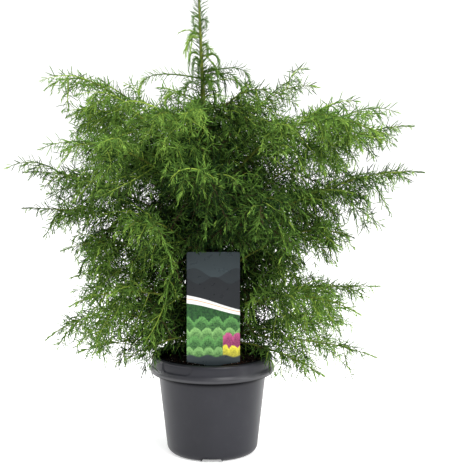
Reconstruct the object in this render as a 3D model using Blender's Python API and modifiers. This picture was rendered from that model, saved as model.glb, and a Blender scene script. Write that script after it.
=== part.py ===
"""A young cryptomeria in a round nursery pot, with a plain picture card in its soil.

The pot stands on z = 0 with its axis on the Z axis, and the front of the plant faces -Y.
A whole trunk leans a little and carries boughs that rise, arch and droop at their tips.
Each mass of foliage is one solid: slim cores that branch from one stem by a seeded rule,
with needles standing out of them. All sizes are in metres.
"""

import math
import random

import bmesh
import bpy
import numpy as np
from mathutils import Matrix, Vector

GAP = 0.0003
ROUND_SIDES = 32

# Pot: a standard three litre container, measured over its collar and its height.
POT_HEIGHT = 0.153
COLLAR_RADIUS = 0.095
COLLAR_HEIGHT = 0.0275
BODY_TOP_RADIUS = 0.0850
BODY_FOOT_RADIUS = 0.0694
FOOT_FILLET = 0.012
LIP_RADIUS = 0.0820
WALL = 0.0018
FLOOR_THICK = 0.0020
DRAIN_WIDTH = 0.030
DRAIN_HEIGHT = 0.006
DRAIN_DEPTH = 0.018
DRAIN_COUNT = 3

# Soil: filled to a finger's width below the lip, a little higher at the trunk.
SOIL_EDGE_Z = 0.1390
SOIL_TOP_Z = 0.1420
SOIL_FLAT_RADIUS = 0.020

# Picture card: a thin plastic card with a pointed stake, leaning back a little.
CARD_WIDTH = 0.079
CARD_TOP_Z = 0.317
CARD_SHOULDER_Z = 0.146
CARD_POINT_Z = 0.092
CARD_STAKE_WIDTH = 0.024
CARD_THICK = 0.0008
CARD_CORNER = 0.002
CARD_X = 0.0025
CARD_Y = -0.0655
CARD_LEAN = math.radians(7.0)

# Trunk: from a flat cut on the soil to the tip of the leader.
TRUNK_FOOT_Z = SOIL_TOP_Z + GAP
TRUNK_TIP_Z = 0.693
TRUNK_TIP_X = -0.019
TRUNK_FOOT_RADIUS = 0.0076
TRUNK_TIP_RADIUS = 0.0011
TRUNK_TAPER = 0.85
FLARE = 0.0042
FLARE_HEIGHT = 0.012
TRUNK_BOW = 0.004
TRUNK_LEAN_POWER = 1.2
TRUNK_RINGS = 16
RING_POWER = 1.35

# Boughs, from the lowest to the highest: height of the foot on the trunk, then the heading
# in degrees from +X, the reach from the pot's axis and the height of the tip.
LIMBED_BOUGHS = (
    (0.170, 329, 0.193, 0.150),
    (0.177, 213, 0.152, 0.160),
    (0.174, 163, 0.222, 0.138),
    (0.192, 352, 0.250, 0.139),
    (0.186, 30, 0.250, 0.155),
    (0.200, 187, 0.252, 0.179),
    (0.195, 122, 0.235, 0.190),
    (0.188, 82, 0.215, 0.185),
    (0.216, 208, 0.232, 0.246),
    (0.210, 329, 0.250, 0.238),
    (0.225, 8, 0.260, 0.243),
    (0.222, 156, 0.248, 0.250),
    (0.232, 58, 0.250, 0.265),
    (0.252, 193, 0.228, 0.318),
    (0.256, 344, 0.218, 0.333),
    (0.262, 99, 0.250, 0.335),
    (0.284, 180, 0.284, 0.381),
    (0.278, 0, 0.318, 0.419),
)
SHOOTS_FROM_TRUNK = (
    (0.272, 234, 0.205, 0.365),
    (0.296, 38, 0.265, 0.375),
    (0.305, 302, 0.205, 0.400),
    (0.318, 169, 0.296, 0.433),
    (0.328, 120, 0.275, 0.440),
    (0.340, 11, 0.314, 0.490),
    (0.334, 268, 0.215, 0.440),
    (0.350, 214, 0.252, 0.474),
    (0.364, 332, 0.276, 0.493),
    (0.376, 72, 0.265, 0.480),
    (0.386, 151, 0.264, 0.498),
    (0.398, 182, 0.248, 0.548),
    (0.408, 248, 0.205, 0.522),
    (0.418, 98, 0.215, 0.540),
    (0.432, 12, 0.165, 0.570),
    (0.446, 155, 0.195, 0.566),
    (0.478, 318, 0.118, 0.550),
    (0.500, 200, 0.112, 0.540),
    (0.602, 335, 0.012, 0.578),
    (0.635, 188, 0.042, 0.607),
)
CREST = 0.022
SPRING = 0.62
SWAY = 0.05
LIMB_SHARE = 0.36
LONG_REACH = 0.300
BOUGH_FOOT_RADIUS = 0.0032
BOUGH_TAPER = 0.62
BOUGH_STEPS = 8

# Foliage: slim cores that stand for the twigs, and needles larger than life.
STEM_RADIUS = 0.0030
TWIG_RADIUS = 0.0024
TWIG_ANGLE = math.radians(50)
TWIG_SPACING = 0.054
TWIG_SHARE = 0.62
TWIG_SHORTEST = 0.034
TWIG_CUTS = (1.0, 0.84, 0.7, 0.58, 0.46, 0.36)
TWIG_DROOP = 0.16
TWIG_STEEPEST = 0.30
NEEDLE_LENGTH = 0.035
NEEDLE_RADIUS = 0.0026
NEEDLE_ANGLE = math.radians(52)
NEEDLE_SPACING = 0.084
NEEDLES_FROM = 0.22
NEEDLES_TO = 0.90
CLEARANCE = 0.002
GOLDEN_ANGLE = math.radians(137.5)
SEED = 71


def clear_scene():
    """Remove whatever the file opened with."""
    for thing in list(bpy.data.objects):
        bpy.data.objects.remove(thing)


def new_collection(name):
    group = bpy.data.collections.new(name)
    bpy.context.scene.collection.children.link(group)
    return group


def material(name, colour, roughness, metallic=0.0):
    """A Principled material of one plain colour."""
    made = bpy.data.materials.new(name)
    made.use_nodes = True
    shader = made.node_tree.nodes["Principled BSDF"]
    shader.inputs["Base Color"].default_value = (*colour, 1.0)
    shader.inputs["Roughness"].default_value = roughness
    shader.inputs["Metallic"].default_value = metallic
    made.diffuse_color = (*colour, 1.0)
    return made


def hide_as_cutter(thing):
    thing.hide_render = True
    thing.display_type = "WIRE"


def add_mesh(name, mesh, group, finish=None):
    thing = bpy.data.objects.new(name, mesh)
    group.objects.link(thing)
    if finish:
        mesh.materials.clear()
        mesh.materials.append(finish)
    return thing


def shade_smooth(mesh, angle=35):
    mesh.shade_smooth()
    mesh.set_sharp_from_angle(angle=math.radians(angle))


def curve_to_mesh(thing, group, finish=None):
    """Replace a curve object by its welded mesh, in the same place."""
    bpy.context.view_layer.update()
    evaluated = thing.evaluated_get(bpy.context.evaluated_depsgraph_get())
    mesh = bpy.data.meshes.new_from_object(evaluated)
    work = bmesh.new()
    work.from_mesh(mesh)
    bmesh.ops.remove_doubles(work, verts=work.verts, dist=0.00002)
    bmesh.ops.recalc_face_normals(work, faces=work.faces)
    work.to_mesh(mesh)
    work.free()
    name = thing.name
    place = thing.matrix_world.copy()
    bpy.data.objects.remove(thing)
    solid = add_mesh(name, mesh, group, finish)
    solid.matrix_world = place
    return solid


def tube(name, points, radii, group, finish=None, resolution=1, profile=None):
    """A tapering tube on a poly spline; a profile object gives it other sides than round."""
    curve = bpy.data.curves.new(name, "CURVE")
    curve.dimensions = "3D"
    curve.use_fill_caps = True
    if profile:
        curve.bevel_mode = "OBJECT"
        curve.bevel_object = profile
    else:
        curve.bevel_depth = 1.0
        curve.bevel_resolution = resolution
    spline = curve.splines.new("POLY")
    spline.points.add(len(points) - 1)
    for knot, place, radius in zip(spline.points, points, radii):
        knot.co = (*place, 1.0)
        knot.radius = radius
    thing = bpy.data.objects.new(name, curve)
    group.objects.link(thing)
    return curve_to_mesh(thing, group, finish)


def triangle_profile(group):
    """A three-sided outline of radius one, which makes the slim cores."""
    curve = bpy.data.curves.new("three_sides", "CURVE")
    curve.dimensions = "2D"
    spline = curve.splines.new("POLY")
    spline.points.add(2)
    for number, knot in enumerate(spline.points):
        angle = math.tau * number / 3
        knot.co = (math.cos(angle), math.sin(angle), 0.0, 1.0)
    spline.use_cyclic_u = True
    thing = bpy.data.objects.new("three_sides", curve)
    hide_as_cutter(thing)
    group.objects.link(thing)
    return thing


def turned(name, profile, group, finish):
    """Turn a profile of (radius, height) points about Z; it runs down its outer side."""
    mesh = bpy.data.meshes.new(name)
    corners = [(radius, 0.0, height) for radius, height in profile]
    mesh.from_pydata(corners, [(n, n + 1) for n in range(len(corners) - 1)], [])
    thing = add_mesh(name, mesh, group, finish)
    screw = thing.modifiers.new("turn", "SCREW")
    screw.angle = math.tau
    screw.steps = ROUND_SIDES
    screw.render_steps = ROUND_SIDES
    screw.use_merge_vertices = True
    screw.merge_threshold = 0.00001
    screw.use_smooth_shade = True
    return thing


def wall_radius(height):
    """Outer radius of the pot's tapering body at a height."""
    share = (height - FOOT_FILLET) / (POT_HEIGHT - WALL - FOOT_FILLET)
    return BODY_FOOT_RADIUS + (BODY_TOP_RADIUS - BODY_FOOT_RADIUS) * share


def foot_fillet(inset, steps=3):
    """Quarter round between the body and the flat underside, set in by a thickness."""
    radius = FOOT_FILLET - inset
    centre = wall_radius(FOOT_FILLET) - FOOT_FILLET
    points = []
    for step in range(steps + 1):
        angle = 0.5 * math.pi * step / steps
        points.append((centre + radius * math.cos(angle), FOOT_FILLET - radius * math.sin(angle)))
    return points


def make_pot(group, cutters, finish):
    """Tapering pot with a turned-down collar and drain notches round its foot."""
    skirt_foot = POT_HEIGHT - COLLAR_HEIGHT
    wall_top = POT_HEIGHT - WALL
    inner = [(0.0, FLOOR_THICK)] + foot_fillet(FLOOR_THICK)[::-1]
    inner += [(LIP_RADIUS, wall_top - 0.001), (LIP_RADIUS + 0.0008, POT_HEIGHT)]
    collar = [
        (COLLAR_RADIUS - 0.0055, POT_HEIGHT - 0.0012),
        (COLLAR_RADIUS - 0.0033, POT_HEIGHT - 0.0050),
        (COLLAR_RADIUS - 0.0018, POT_HEIGHT - 0.0105),
        (COLLAR_RADIUS - 0.0006, POT_HEIGHT - 0.0175),
        (COLLAR_RADIUS, skirt_foot + 0.0020),
        (COLLAR_RADIUS - 0.0006, skirt_foot),
    ]
    under = [
        (COLLAR_RADIUS - WALL, skirt_foot),
        (COLLAR_RADIUS - WALL - 0.0018, POT_HEIGHT - 0.0105),
        (COLLAR_RADIUS - WALL - 0.0038, wall_top - 0.0040),
        (COLLAR_RADIUS - WALL - 0.0058, wall_top - 0.0012),
        (wall_radius(wall_top) + 0.0010, wall_top - 0.0012),
        (wall_radius(wall_top - 0.0035), wall_top - 0.0035),
    ]
    outer = foot_fillet(0.0) + [(0.0, 0.0)]
    pot = turned("pot", inner + collar + under + outer, group, finish)
    reach = BODY_FOOT_RADIUS + 0.004 - DRAIN_DEPTH / 2
    for number in range(DRAIN_COUNT):
        mesh = bpy.data.meshes.new(f"drain_{number + 1}")
        work = bmesh.new()
        size = Matrix.Diagonal((DRAIN_DEPTH, DRAIN_WIDTH, 2 * DRAIN_HEIGHT, 1.0))
        bmesh.ops.create_cube(work, size=1.0, matrix=size)
        work.to_mesh(mesh)
        work.free()
        cutter = add_mesh(f"drain_{number + 1}", mesh, cutters)
        heading = -0.5 * math.pi + math.tau * number / DRAIN_COUNT
        cutter.location = (reach * math.cos(heading), reach * math.sin(heading), 0.0)
        cutter.rotation_euler = (0.0, 0.0, heading)
        hide_as_cutter(cutter)
        cut = pot.modifiers.new(f"drain_{number + 1}", "BOOLEAN")
        cut.object = cutter
    return pot


def card_shape(name, margin, group):
    """Card outline with a pointed stake, grown by a margin, leaning back about its foot."""
    half = CARD_WIDTH / 2 + margin
    stake = CARD_STAKE_WIDTH / 2 + margin
    top = CARD_TOP_Z - CARD_SHOULDER_Z + margin
    drop = CARD_POINT_Z - CARD_SHOULDER_Z - margin
    right = [
        (half - CARD_CORNER, top),
        (half, top - CARD_CORNER),
        (half, 0.004),
        (half - 0.004, 0.0),
        (stake + 0.006, -0.002),
        (stake, -0.008),
        (stake, drop + 0.022),
        (0.0015, drop),
    ]
    left = [(-across, up) for across, up in reversed(right)]
    curve = bpy.data.curves.new(name, "CURVE")
    curve.dimensions = "2D"
    curve.fill_mode = "BOTH"
    curve.extrude = CARD_THICK / 2 + margin
    spline = curve.splines.new("POLY")
    spline.points.add(len(right + left) - 1)
    for knot, (across, up) in zip(spline.points, right + left):
        knot.co = (across, up, 0.0, 1.0)
    spline.use_cyclic_u = True
    thing = bpy.data.objects.new(name, curve)
    thing.location = (CARD_X, CARD_Y, CARD_SHOULDER_Z)
    thing.rotation_euler = (0.5 * math.pi - CARD_LEAN, 0.0, 0.0)
    group.objects.link(thing)
    return thing


def make_soil(group, cutters, finish):
    """Filled root ball, with a slot where the card's stake is pushed in."""
    inside = [(radius - GAP, height + GAP) for radius, height in foot_fillet(FLOOR_THICK)]
    span = POT_HEIGHT - WALL - 0.001 - FOOT_FILLET
    share = (SOIL_EDGE_Z - FOOT_FILLET) / span
    foot_wall = wall_radius(FOOT_FILLET) - FLOOR_THICK
    edge = foot_wall + (LIP_RADIUS - foot_wall) * share - 2 * GAP
    profile = [
        (0.0, SOIL_TOP_Z),
        (SOIL_FLAT_RADIUS, SOIL_TOP_Z),
        (0.5 * (SOIL_FLAT_RADIUS + edge), SOIL_TOP_Z - 0.0010),
        (edge - 0.004, SOIL_EDGE_Z + 0.0006),
        (edge, SOIL_EDGE_Z - 0.002),
    ]
    soil = turned("soil", profile + inside + [(0.0, FLOOR_THICK + GAP)], group, finish)
    slot = curve_to_mesh(card_shape("card_slot", GAP, cutters), cutters)
    hide_as_cutter(slot)
    cut = soil.modifiers.new("card_slot", "BOOLEAN")
    cut.object = slot
    return soil


def make_card(group, finish):
    return curve_to_mesh(card_shape("picture_card", 0.0, group), group, finish)


def trunk_point(height):
    """Centre of the trunk at a height: a slight bow and a lean towards the tip."""
    share = (height - TRUNK_FOOT_Z) / (TRUNK_TIP_Z - TRUNK_FOOT_Z)
    across = TRUNK_TIP_X * share ** TRUNK_LEAN_POWER
    back = TRUNK_BOW * math.sin(math.pi * share)
    return np.array([across, back, height])


def trunk_radius(height):
    """Taper from foot to tip, with a flare that dies away above the soil."""
    share = (height - TRUNK_FOOT_Z) / (TRUNK_TIP_Z - TRUNK_FOOT_Z)
    taper = TRUNK_TIP_RADIUS + (TRUNK_FOOT_RADIUS - TRUNK_TIP_RADIUS) * (1 - share) ** TRUNK_TAPER
    return taper + FLARE * math.exp(-(height - TRUNK_FOOT_Z) / FLARE_HEIGHT)


def trunk_solid(name, margin, group, finish=None):
    """The trunk, or a copy of it grown by a margin."""
    shares = [(ring / TRUNK_RINGS) ** RING_POWER for ring in range(TRUNK_RINGS + 1)]
    heights = [TRUNK_FOOT_Z + (TRUNK_TIP_Z - TRUNK_FOOT_Z) * share for share in shares]
    points = [trunk_point(height) for height in heights]
    points[1][:2] = points[0][:2]
    radii = [trunk_radius(height) + margin for height in heights]
    return tube(name, points, radii, group, finish, resolution=3)


def bough_path(number, foot, heading, reach, tip):
    """Points of a bough: it springs up and out, crests, and droops to its tip."""
    chance = random.Random(SEED + number)
    angle = math.radians(heading)
    out = np.array([math.cos(angle), math.sin(angle), 0.0])
    side = np.array([-math.sin(angle), math.cos(angle), 0.0])
    start = trunk_point(foot)
    end = out * reach + np.array([0.0, 0.0, tip])
    span = np.linalg.norm((end - start)[:2])
    rise = tip - foot
    sway = SWAY * chance.uniform(-1, 1)
    first = start + out * span * 0.30 + np.array([0.0, 0.0, SPRING * rise + CREST])
    second = start + out * span * 0.70 + side * span * sway
    second[2] = tip + CREST * (0.5 + reach / LONG_REACH)
    share = np.linspace(0.0, 1.0, BOUGH_STEPS + 1)[:, None]
    return (start * (1 - share) ** 3 + first * 3 * share * (1 - share) ** 2
            + second * 3 * share ** 2 * (1 - share) + end * share ** 3)


def point_on(path, share):
    """Point and heading at a share of a path's steps."""
    place = share * (len(path) - 1)
    step = min(int(place), len(path) - 2)
    along = path[step + 1] - path[step]
    return path[step] + along * (place - step), along / np.linalg.norm(along)


def reach_between(points, paths):
    """Shortest distance from each point to a set of broken lines."""
    starts = np.concatenate([path[:-1] for path in paths])
    spans = np.concatenate([path[1:] - path[:-1] for path in paths])
    offsets = points[:, None, :] - starts[None, :, :]
    shares = np.einsum("pqk,qk->pq", offsets, spans) / np.einsum("qk,qk->q", spans, spans)
    shares = np.clip(shares, 0.0, 1.0)[:, :, None]
    return np.linalg.norm(offsets - shares * spans[None, :, :], axis=2).min(axis=1)


class Space:
    """The room that one mass keeps to: nearest its own bough, clear of everything else."""

    def __init__(self, number, paths, trunk):
        self.own = [paths[number]]
        self.others = [path for other, path in enumerate(paths) if other != number]
        self.trunk = trunk

    def holds(self, points, radius):
        points = np.asarray(points)
        own = reach_between(points, self.own)
        others = reach_between(points, self.others)
        if np.any(others - own < 2 * radius + CLEARANCE):
            return False
        if np.any(others < BOUGH_FOOT_RADIUS + radius + CLEARANCE):
            return False
        if np.any(reach_between(points, [self.trunk]) < TRUNK_FOOT_RADIUS + radius + CLEARANCE):
            return False
        return clear_of_pot(points, radius) and clear_of_card(points, radius)


def clear_of_pot(points, radius):
    """True where no point comes near the soil, the lip or the collar."""
    around = np.hypot(points[:, 0], points[:, 1])
    margin = radius + CLEARANCE
    over_soil = points[:, 2] > SOIL_TOP_Z + margin
    over_lip = points[:, 2] > POT_HEIGHT + margin
    inside = around < LIP_RADIUS - margin
    outside = around > COLLAR_RADIUS + margin
    return bool(np.all(outside | over_lip | (inside & over_soil)))


def clear_of_card(points, radius):
    """True where no point stands in the card or before its face."""
    margin = radius + 2 * CLEARANCE
    back = CARD_Y + (points[:, 2] - CARD_SHOULDER_Z) * math.tan(CARD_LEAN) + margin
    beside = np.abs(points[:, 0] - CARD_X) > CARD_WIDTH / 2 + margin
    above = points[:, 2] > CARD_TOP_Z + margin
    return bool(np.all(beside | above | (points[:, 1] > back)))


def frame_about(along):
    """Two directions across a heading, the first of them level."""
    level = np.cross(along, (0.0, 0.0, 1.0))
    level = level / max(np.linalg.norm(level), 1e-6)
    return level, np.cross(level, along)


def stem_of(path, share):
    """The part of a bough's path that lies past a share of it, in longer steps."""
    start, along = point_on(path, share)
    later = [step for step in range(2, len(path), 2) if step > share * (len(path) - 1) + 0.3]
    return np.array([start + along * GAP] + [path[step] for step in later])


def twigs_of(stem, space, chance):
    """Twigs that leave the stem to each side in turn, arch and droop, and keep to the space."""
    length = np.linalg.norm(np.diff(stem, axis=0), axis=1).sum()
    count = max(2, round(length / TWIG_SPACING))
    twigs = []
    for number in range(count):
        share = 0.08 + 0.76 * (number + chance.uniform(0.1, 0.5)) / count
        root, along = point_on(stem, share)
        level, up = frame_about(along)
        turn = (-1) ** number * math.radians(90 + chance.uniform(-38, 30))
        across = level * math.sin(turn) + up * math.cos(turn)
        lead = along * math.cos(TWIG_ANGLE) + across * math.sin(TWIG_ANGLE)
        lead[2] = min(lead[2], TWIG_STEEPEST)
        lead = lead / np.linalg.norm(lead)
        full = max(TWIG_SHORTEST, TWIG_SHARE * length * (1.12 - 0.82 * share))
        for cut in TWIG_CUTS:
            size = full * cut
            if size < 0.7 * TWIG_SHORTEST:
                break
            sag = np.array([0.0, 0.0, -TWIG_DROOP * size])
            twig = np.array([root, root + lead * size * 0.5 - sag * 0.15,
                             root + (lead * 0.8 + along * 0.2) * size + sag])
            checks = [point_on(twig, part)[0] for part in np.linspace(0.25, 1.0, 7)]
            if space.holds(checks, TWIG_RADIUS):
                twigs.append(twig)
                break
    return twigs


def needles_of(path, space, chance):
    """Root, heading and length of each needle on a core, round it by the golden angle."""
    length = np.linalg.norm(np.diff(path, axis=0), axis=1).sum()
    count = max(1, round(length / NEEDLE_SPACING + 0.6))
    start = chance.uniform(0, math.tau)
    places = []
    for number in range(count):
        share = NEEDLES_FROM + (NEEDLES_TO - NEEDLES_FROM) * (number + 0.5) / count
        root, along = point_on(path, share)
        level, up = frame_about(along)
        turn = start + number * GOLDEN_ANGLE
        across = level * math.cos(turn) + up * math.sin(turn)
        lead = along * math.cos(NEEDLE_ANGLE) + across * math.sin(NEEDLE_ANGLE)
        size = NEEDLE_LENGTH * (1.0 - 0.25 * share) * chance.uniform(0.9, 1.1)
        checks = [root + lead * size * part for part in (0.35, 0.7, 1.0)]
        if space.holds(checks, 0.0012):
            places.append((root, lead, size))
    return places


def add_core(name, path, radius, group, profile):
    """A slim three-sided core that tapers to a point."""
    radii = radius * (1.0 - np.linspace(0.0, 1.0, len(path)) ** 1.5)
    return tube(name, path, radii, group, profile=profile)


def add_needle(name, root, lead, size, group):
    """A three-sided awl whose wide end is sunk in its core."""
    mesh = bpy.data.meshes.new(name)
    work = bmesh.new()
    turn = Vector(lead).to_track_quat("Z", "Y").to_matrix().to_4x4()
    place = Matrix.Translation(Vector(root + lead * (size / 2 - 0.0008))) @ turn
    bmesh.ops.create_cone(work, cap_ends=True, cap_tris=True, segments=3, radius1=NEEDLE_RADIUS,
                          radius2=0.0, depth=size, matrix=place)
    work.to_mesh(mesh)
    work.free()
    return add_mesh(name, mesh, group)


def apply_modifier(thing, name):
    with bpy.context.temp_override(object=thing, active_object=thing):
        bpy.ops.object.modifier_apply(modifier=name)


def join_collection(thing, pieces):
    """Unite an object with every object of a collection, then remove those."""
    union = thing.modifiers.new("join", "BOOLEAN")
    union.operation = "UNION"
    union.operand_type = "COLLECTION"
    union.collection = pieces
    apply_modifier(thing, "join")
    for piece in list(pieces.objects):
        bpy.data.objects.remove(piece)
    bpy.data.collections.remove(pieces)


def cut_clear(thing, cutter):
    """Cut the trunk's room out of a limb that springs from it."""
    cut = thing.modifiers.new("clear_of_trunk", "BOOLEAN")
    cut.operation = "DIFFERENCE"
    cut.object = cutter


def thickness(reach):
    """How thick a bough or a stem is for its reach, against the longest."""
    return 0.4 + 0.6 * min(1.0, reach / LONG_REACH)


def make_mass(number, stem, reach, space, group, profile, finish):
    """One mass of foliage: stem, twigs and needles made one solid."""
    stem_radius = STEM_RADIUS * thickness(reach)
    twig_radius = min(TWIG_RADIUS, 0.9 * stem_radius)
    chance = random.Random(SEED * 31 + number)
    label = f"foliage_{number + 1:02d}"
    pieces = new_collection(f"{label}_pieces")
    twigs = twigs_of(stem, space, chance)
    for count, twig in enumerate(twigs):
        add_core(f"{label}_twig_{count}", twig, twig_radius, pieces, profile)
    places = needles_of(stem, space, chance)
    for twig in twigs:
        places += needles_of(twig, space, chance)
    for count, (root, lead, size) in enumerate(places):
        add_needle(f"{label}_needle_{count}", root, lead, size, pieces)
    mass = add_core(label, stem, stem_radius, group, profile)
    join_collection(mass, pieces)
    mass.data.materials.clear()
    mass.data.materials.append(finish)
    return mass


def make_bough(number, path, reach, group, finish):
    """The bare tapering limb of a bough, from inside the trunk to where its mass begins."""
    last = point_on(path, LIMB_SHARE)[0]
    steps = [step for step in range(len(path)) if step < LIMB_SHARE * (len(path) - 1) - 0.3]
    points = [path[step] for step in steps] + [last]
    foot = BOUGH_FOOT_RADIUS * thickness(reach)
    radii = np.linspace(foot, BOUGH_TAPER * foot, len(points))
    bough = tube(f"bough_{number + 1:02d}", points, radii, group, finish)
    shade_smooth(bough.data, 60)
    return bough


def main():
    clear_scene()
    plant = new_collection("cryptomeria")
    cutters = new_collection("cutters")
    pot_plastic = material("pot plastic", (0.060, 0.064, 0.068), 0.45)
    dark_soil = material("potting soil", (0.030, 0.020, 0.014), 0.95)
    card_plastic = material("card plastic", (0.10, 0.16, 0.19), 0.35)
    bark = material("young bark", (0.20, 0.115, 0.060), 0.85)
    needles = material("needle green", (0.090, 0.230, 0.045), 0.55)

    make_pot(plant, cutters, pot_plastic)
    make_soil(plant, cutters, dark_soil)
    make_card(plant, card_plastic)
    trunk = trunk_solid("trunk", 0.0, plant, bark)
    shade_smooth(trunk.data, 60)
    room = trunk_solid("trunk_room", GAP, cutters)
    hide_as_cutter(room)
    profile = triangle_profile(cutters)

    boughs = LIMBED_BOUGHS + SHOOTS_FROM_TRUNK
    paths = [bough_path(number, *bough) for number, bough in enumerate(boughs)]
    heights = np.linspace(TRUNK_FOOT_Z, TRUNK_TIP_Z, 24)
    axis = np.array([trunk_point(height) for height in heights])
    for number, (path, bough) in enumerate(zip(paths, boughs)):
        space = Space(number, paths, axis)
        limbed = number < len(LIMBED_BOUGHS)
        if limbed:
            cut_clear(make_bough(number, path, bough[2], plant, bark), room)
        stem = stem_of(path, LIMB_SHARE if limbed else 0.0)
        mass = make_mass(number, stem, bough[2], space, plant, profile, needles)
        if not limbed:
            cut_clear(mass, room)
    bpy.data.objects.remove(profile)


main()
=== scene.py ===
"""Looks of a young cryptomeria in a nursery pot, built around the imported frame.

Every piece is a surface worked out with numpy in the frame's own metres: the pot's turned wall, the
soil and its grains, the picture card, the bark of trunk and boughs, and the twigs and needles, which
follow the boughs of the frame and branch on from them by the same seeded rule.
"""

import math
import random

import bpy
import numpy as np
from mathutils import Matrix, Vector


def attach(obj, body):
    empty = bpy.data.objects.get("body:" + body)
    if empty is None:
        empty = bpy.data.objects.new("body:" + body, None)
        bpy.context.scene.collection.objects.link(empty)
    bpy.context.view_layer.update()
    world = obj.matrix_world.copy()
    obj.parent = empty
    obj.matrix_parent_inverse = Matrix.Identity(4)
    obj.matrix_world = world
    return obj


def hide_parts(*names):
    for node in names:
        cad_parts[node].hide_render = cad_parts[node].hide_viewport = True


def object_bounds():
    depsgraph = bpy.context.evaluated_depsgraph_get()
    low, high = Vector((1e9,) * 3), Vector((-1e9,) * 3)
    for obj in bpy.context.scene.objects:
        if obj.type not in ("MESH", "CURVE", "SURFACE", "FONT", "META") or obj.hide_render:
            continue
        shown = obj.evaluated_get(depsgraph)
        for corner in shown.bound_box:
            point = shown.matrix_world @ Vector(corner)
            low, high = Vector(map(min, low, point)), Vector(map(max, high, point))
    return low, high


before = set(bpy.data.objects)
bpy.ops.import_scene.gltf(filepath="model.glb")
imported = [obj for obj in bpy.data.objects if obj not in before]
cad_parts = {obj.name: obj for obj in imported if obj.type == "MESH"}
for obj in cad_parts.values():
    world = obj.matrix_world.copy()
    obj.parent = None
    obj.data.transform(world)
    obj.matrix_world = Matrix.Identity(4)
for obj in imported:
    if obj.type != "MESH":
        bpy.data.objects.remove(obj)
CAD_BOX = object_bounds()

bl_info = {
    "name": "Potted cryptomeria",
    "version": (1, 0, 0),
    "blender": (4, 5, 0),
    "location": "View3D > Sidebar > Cryptomeria",
    "description": "Builds a young cryptomeria in its nursery pot, piece by piece",
    "category": "Object",
}

SEED = 71
BODY = "root"
LIMBED = 18
GOLDEN_ANGLE = math.radians(137.5)

# Boughs, about from the lowest to the highest: height of the foot on the trunk, then the heading in
# degrees from +X, the reach from the pot's axis and the height of the tip.
BOUGHS = (
    (0.170, 329, 0.193, 0.150), (0.177, 213, 0.152, 0.160), (0.174, 163, 0.222, 0.138),
    (0.192, 352, 0.250, 0.139), (0.186, 30, 0.250, 0.155), (0.200, 187, 0.252, 0.179),
    (0.195, 122, 0.235, 0.190), (0.188, 82, 0.215, 0.185), (0.216, 208, 0.232, 0.246),
    (0.210, 329, 0.250, 0.238), (0.225, 8, 0.260, 0.243), (0.222, 156, 0.248, 0.250),
    (0.232, 58, 0.250, 0.265), (0.252, 193, 0.228, 0.318), (0.256, 344, 0.218, 0.333),
    (0.262, 99, 0.250, 0.335), (0.284, 180, 0.284, 0.381), (0.278, 0, 0.318, 0.419),
    (0.272, 234, 0.205, 0.365), (0.296, 38, 0.265, 0.375), (0.305, 302, 0.205, 0.400),
    (0.318, 169, 0.296, 0.433), (0.328, 120, 0.275, 0.440), (0.340, 11, 0.314, 0.490),
    (0.334, 268, 0.215, 0.440), (0.350, 214, 0.252, 0.474), (0.364, 332, 0.276, 0.493),
    (0.376, 72, 0.265, 0.480), (0.386, 151, 0.264, 0.498), (0.398, 182, 0.248, 0.548),
    (0.408, 248, 0.205, 0.522), (0.418, 98, 0.215, 0.540), (0.432, 12, 0.165, 0.570),
    (0.446, 155, 0.195, 0.566), (0.478, 318, 0.118, 0.550), (0.500, 200, 0.112, 0.540),
    (0.602, 335, 0.012, 0.578), (0.635, 188, 0.042, 0.607),
)


def smooth(low, high, value):
    """0 below low, 1 above high, and 3x2 - 2x3 of the share between them."""
    share = np.clip((np.asarray(value, float) - low) / (high - low), 0.0, 1.0)
    return share * share * (3.0 - 2.0 * share)


def unit(vectors):
    """Each vector divided by its own length."""
    return vectors / np.maximum(np.linalg.norm(vectors, axis=-1, keepdims=True), 1e-9)


def ripples(points, size, seed):
    """Smooth noise, about between -1 and 1: eight sines along random headings, each with a wave about
    as long as the size, added up and divided by 3.5."""
    chance = np.random.default_rng(seed)
    total = np.zeros(points.shape[:-1])
    for _ in range(8):
        heading = unit(chance.normal(size=3)) * chance.uniform(0.6, 1.6) / size
        total += np.sin(points @ heading * math.tau + chance.uniform(0, math.tau))
    return total / 3.5


class PotSettings(bpy.types.PropertyGroup):
    """Sizes and colour of the nursery pot and its soil."""

    collar_radius: bpy.props.FloatProperty(
        name="Collar radius", description="Widest radius of the collar", default=0.095,
        min=0.05, max=0.2, unit="LENGTH")
    height: bpy.props.FloatProperty(
        name="Height", description="Height of the pot over its lip", default=0.153,
        min=0.05, max=0.3, unit="LENGTH")
    colour: bpy.props.FloatVectorProperty(
        name="Plastic", description="Colour of the pot's plastic", default=(0.0180, 0.0182, 0.0232),
        size=3, min=0.0, max=1.0, subtype="COLOR")
    grains: bpy.props.IntProperty(
        name="Soil grains", description="How many loose grains lie on the soil", default=2600,
        min=0, max=6000)


class CardSettings(bpy.types.PropertyGroup):
    """Sizes and ground colour of the picture card."""

    width: bpy.props.FloatProperty(
        name="Width", description="Width of the card", default=0.079, min=0.02, max=0.2,
        unit="LENGTH")
    ground: bpy.props.FloatVectorProperty(
        name="Ground", description="Slate colour of the card's ground", default=(0.034, 0.047, 0.053),
        size=3, min=0.0, max=1.0, subtype="COLOR")


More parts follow.
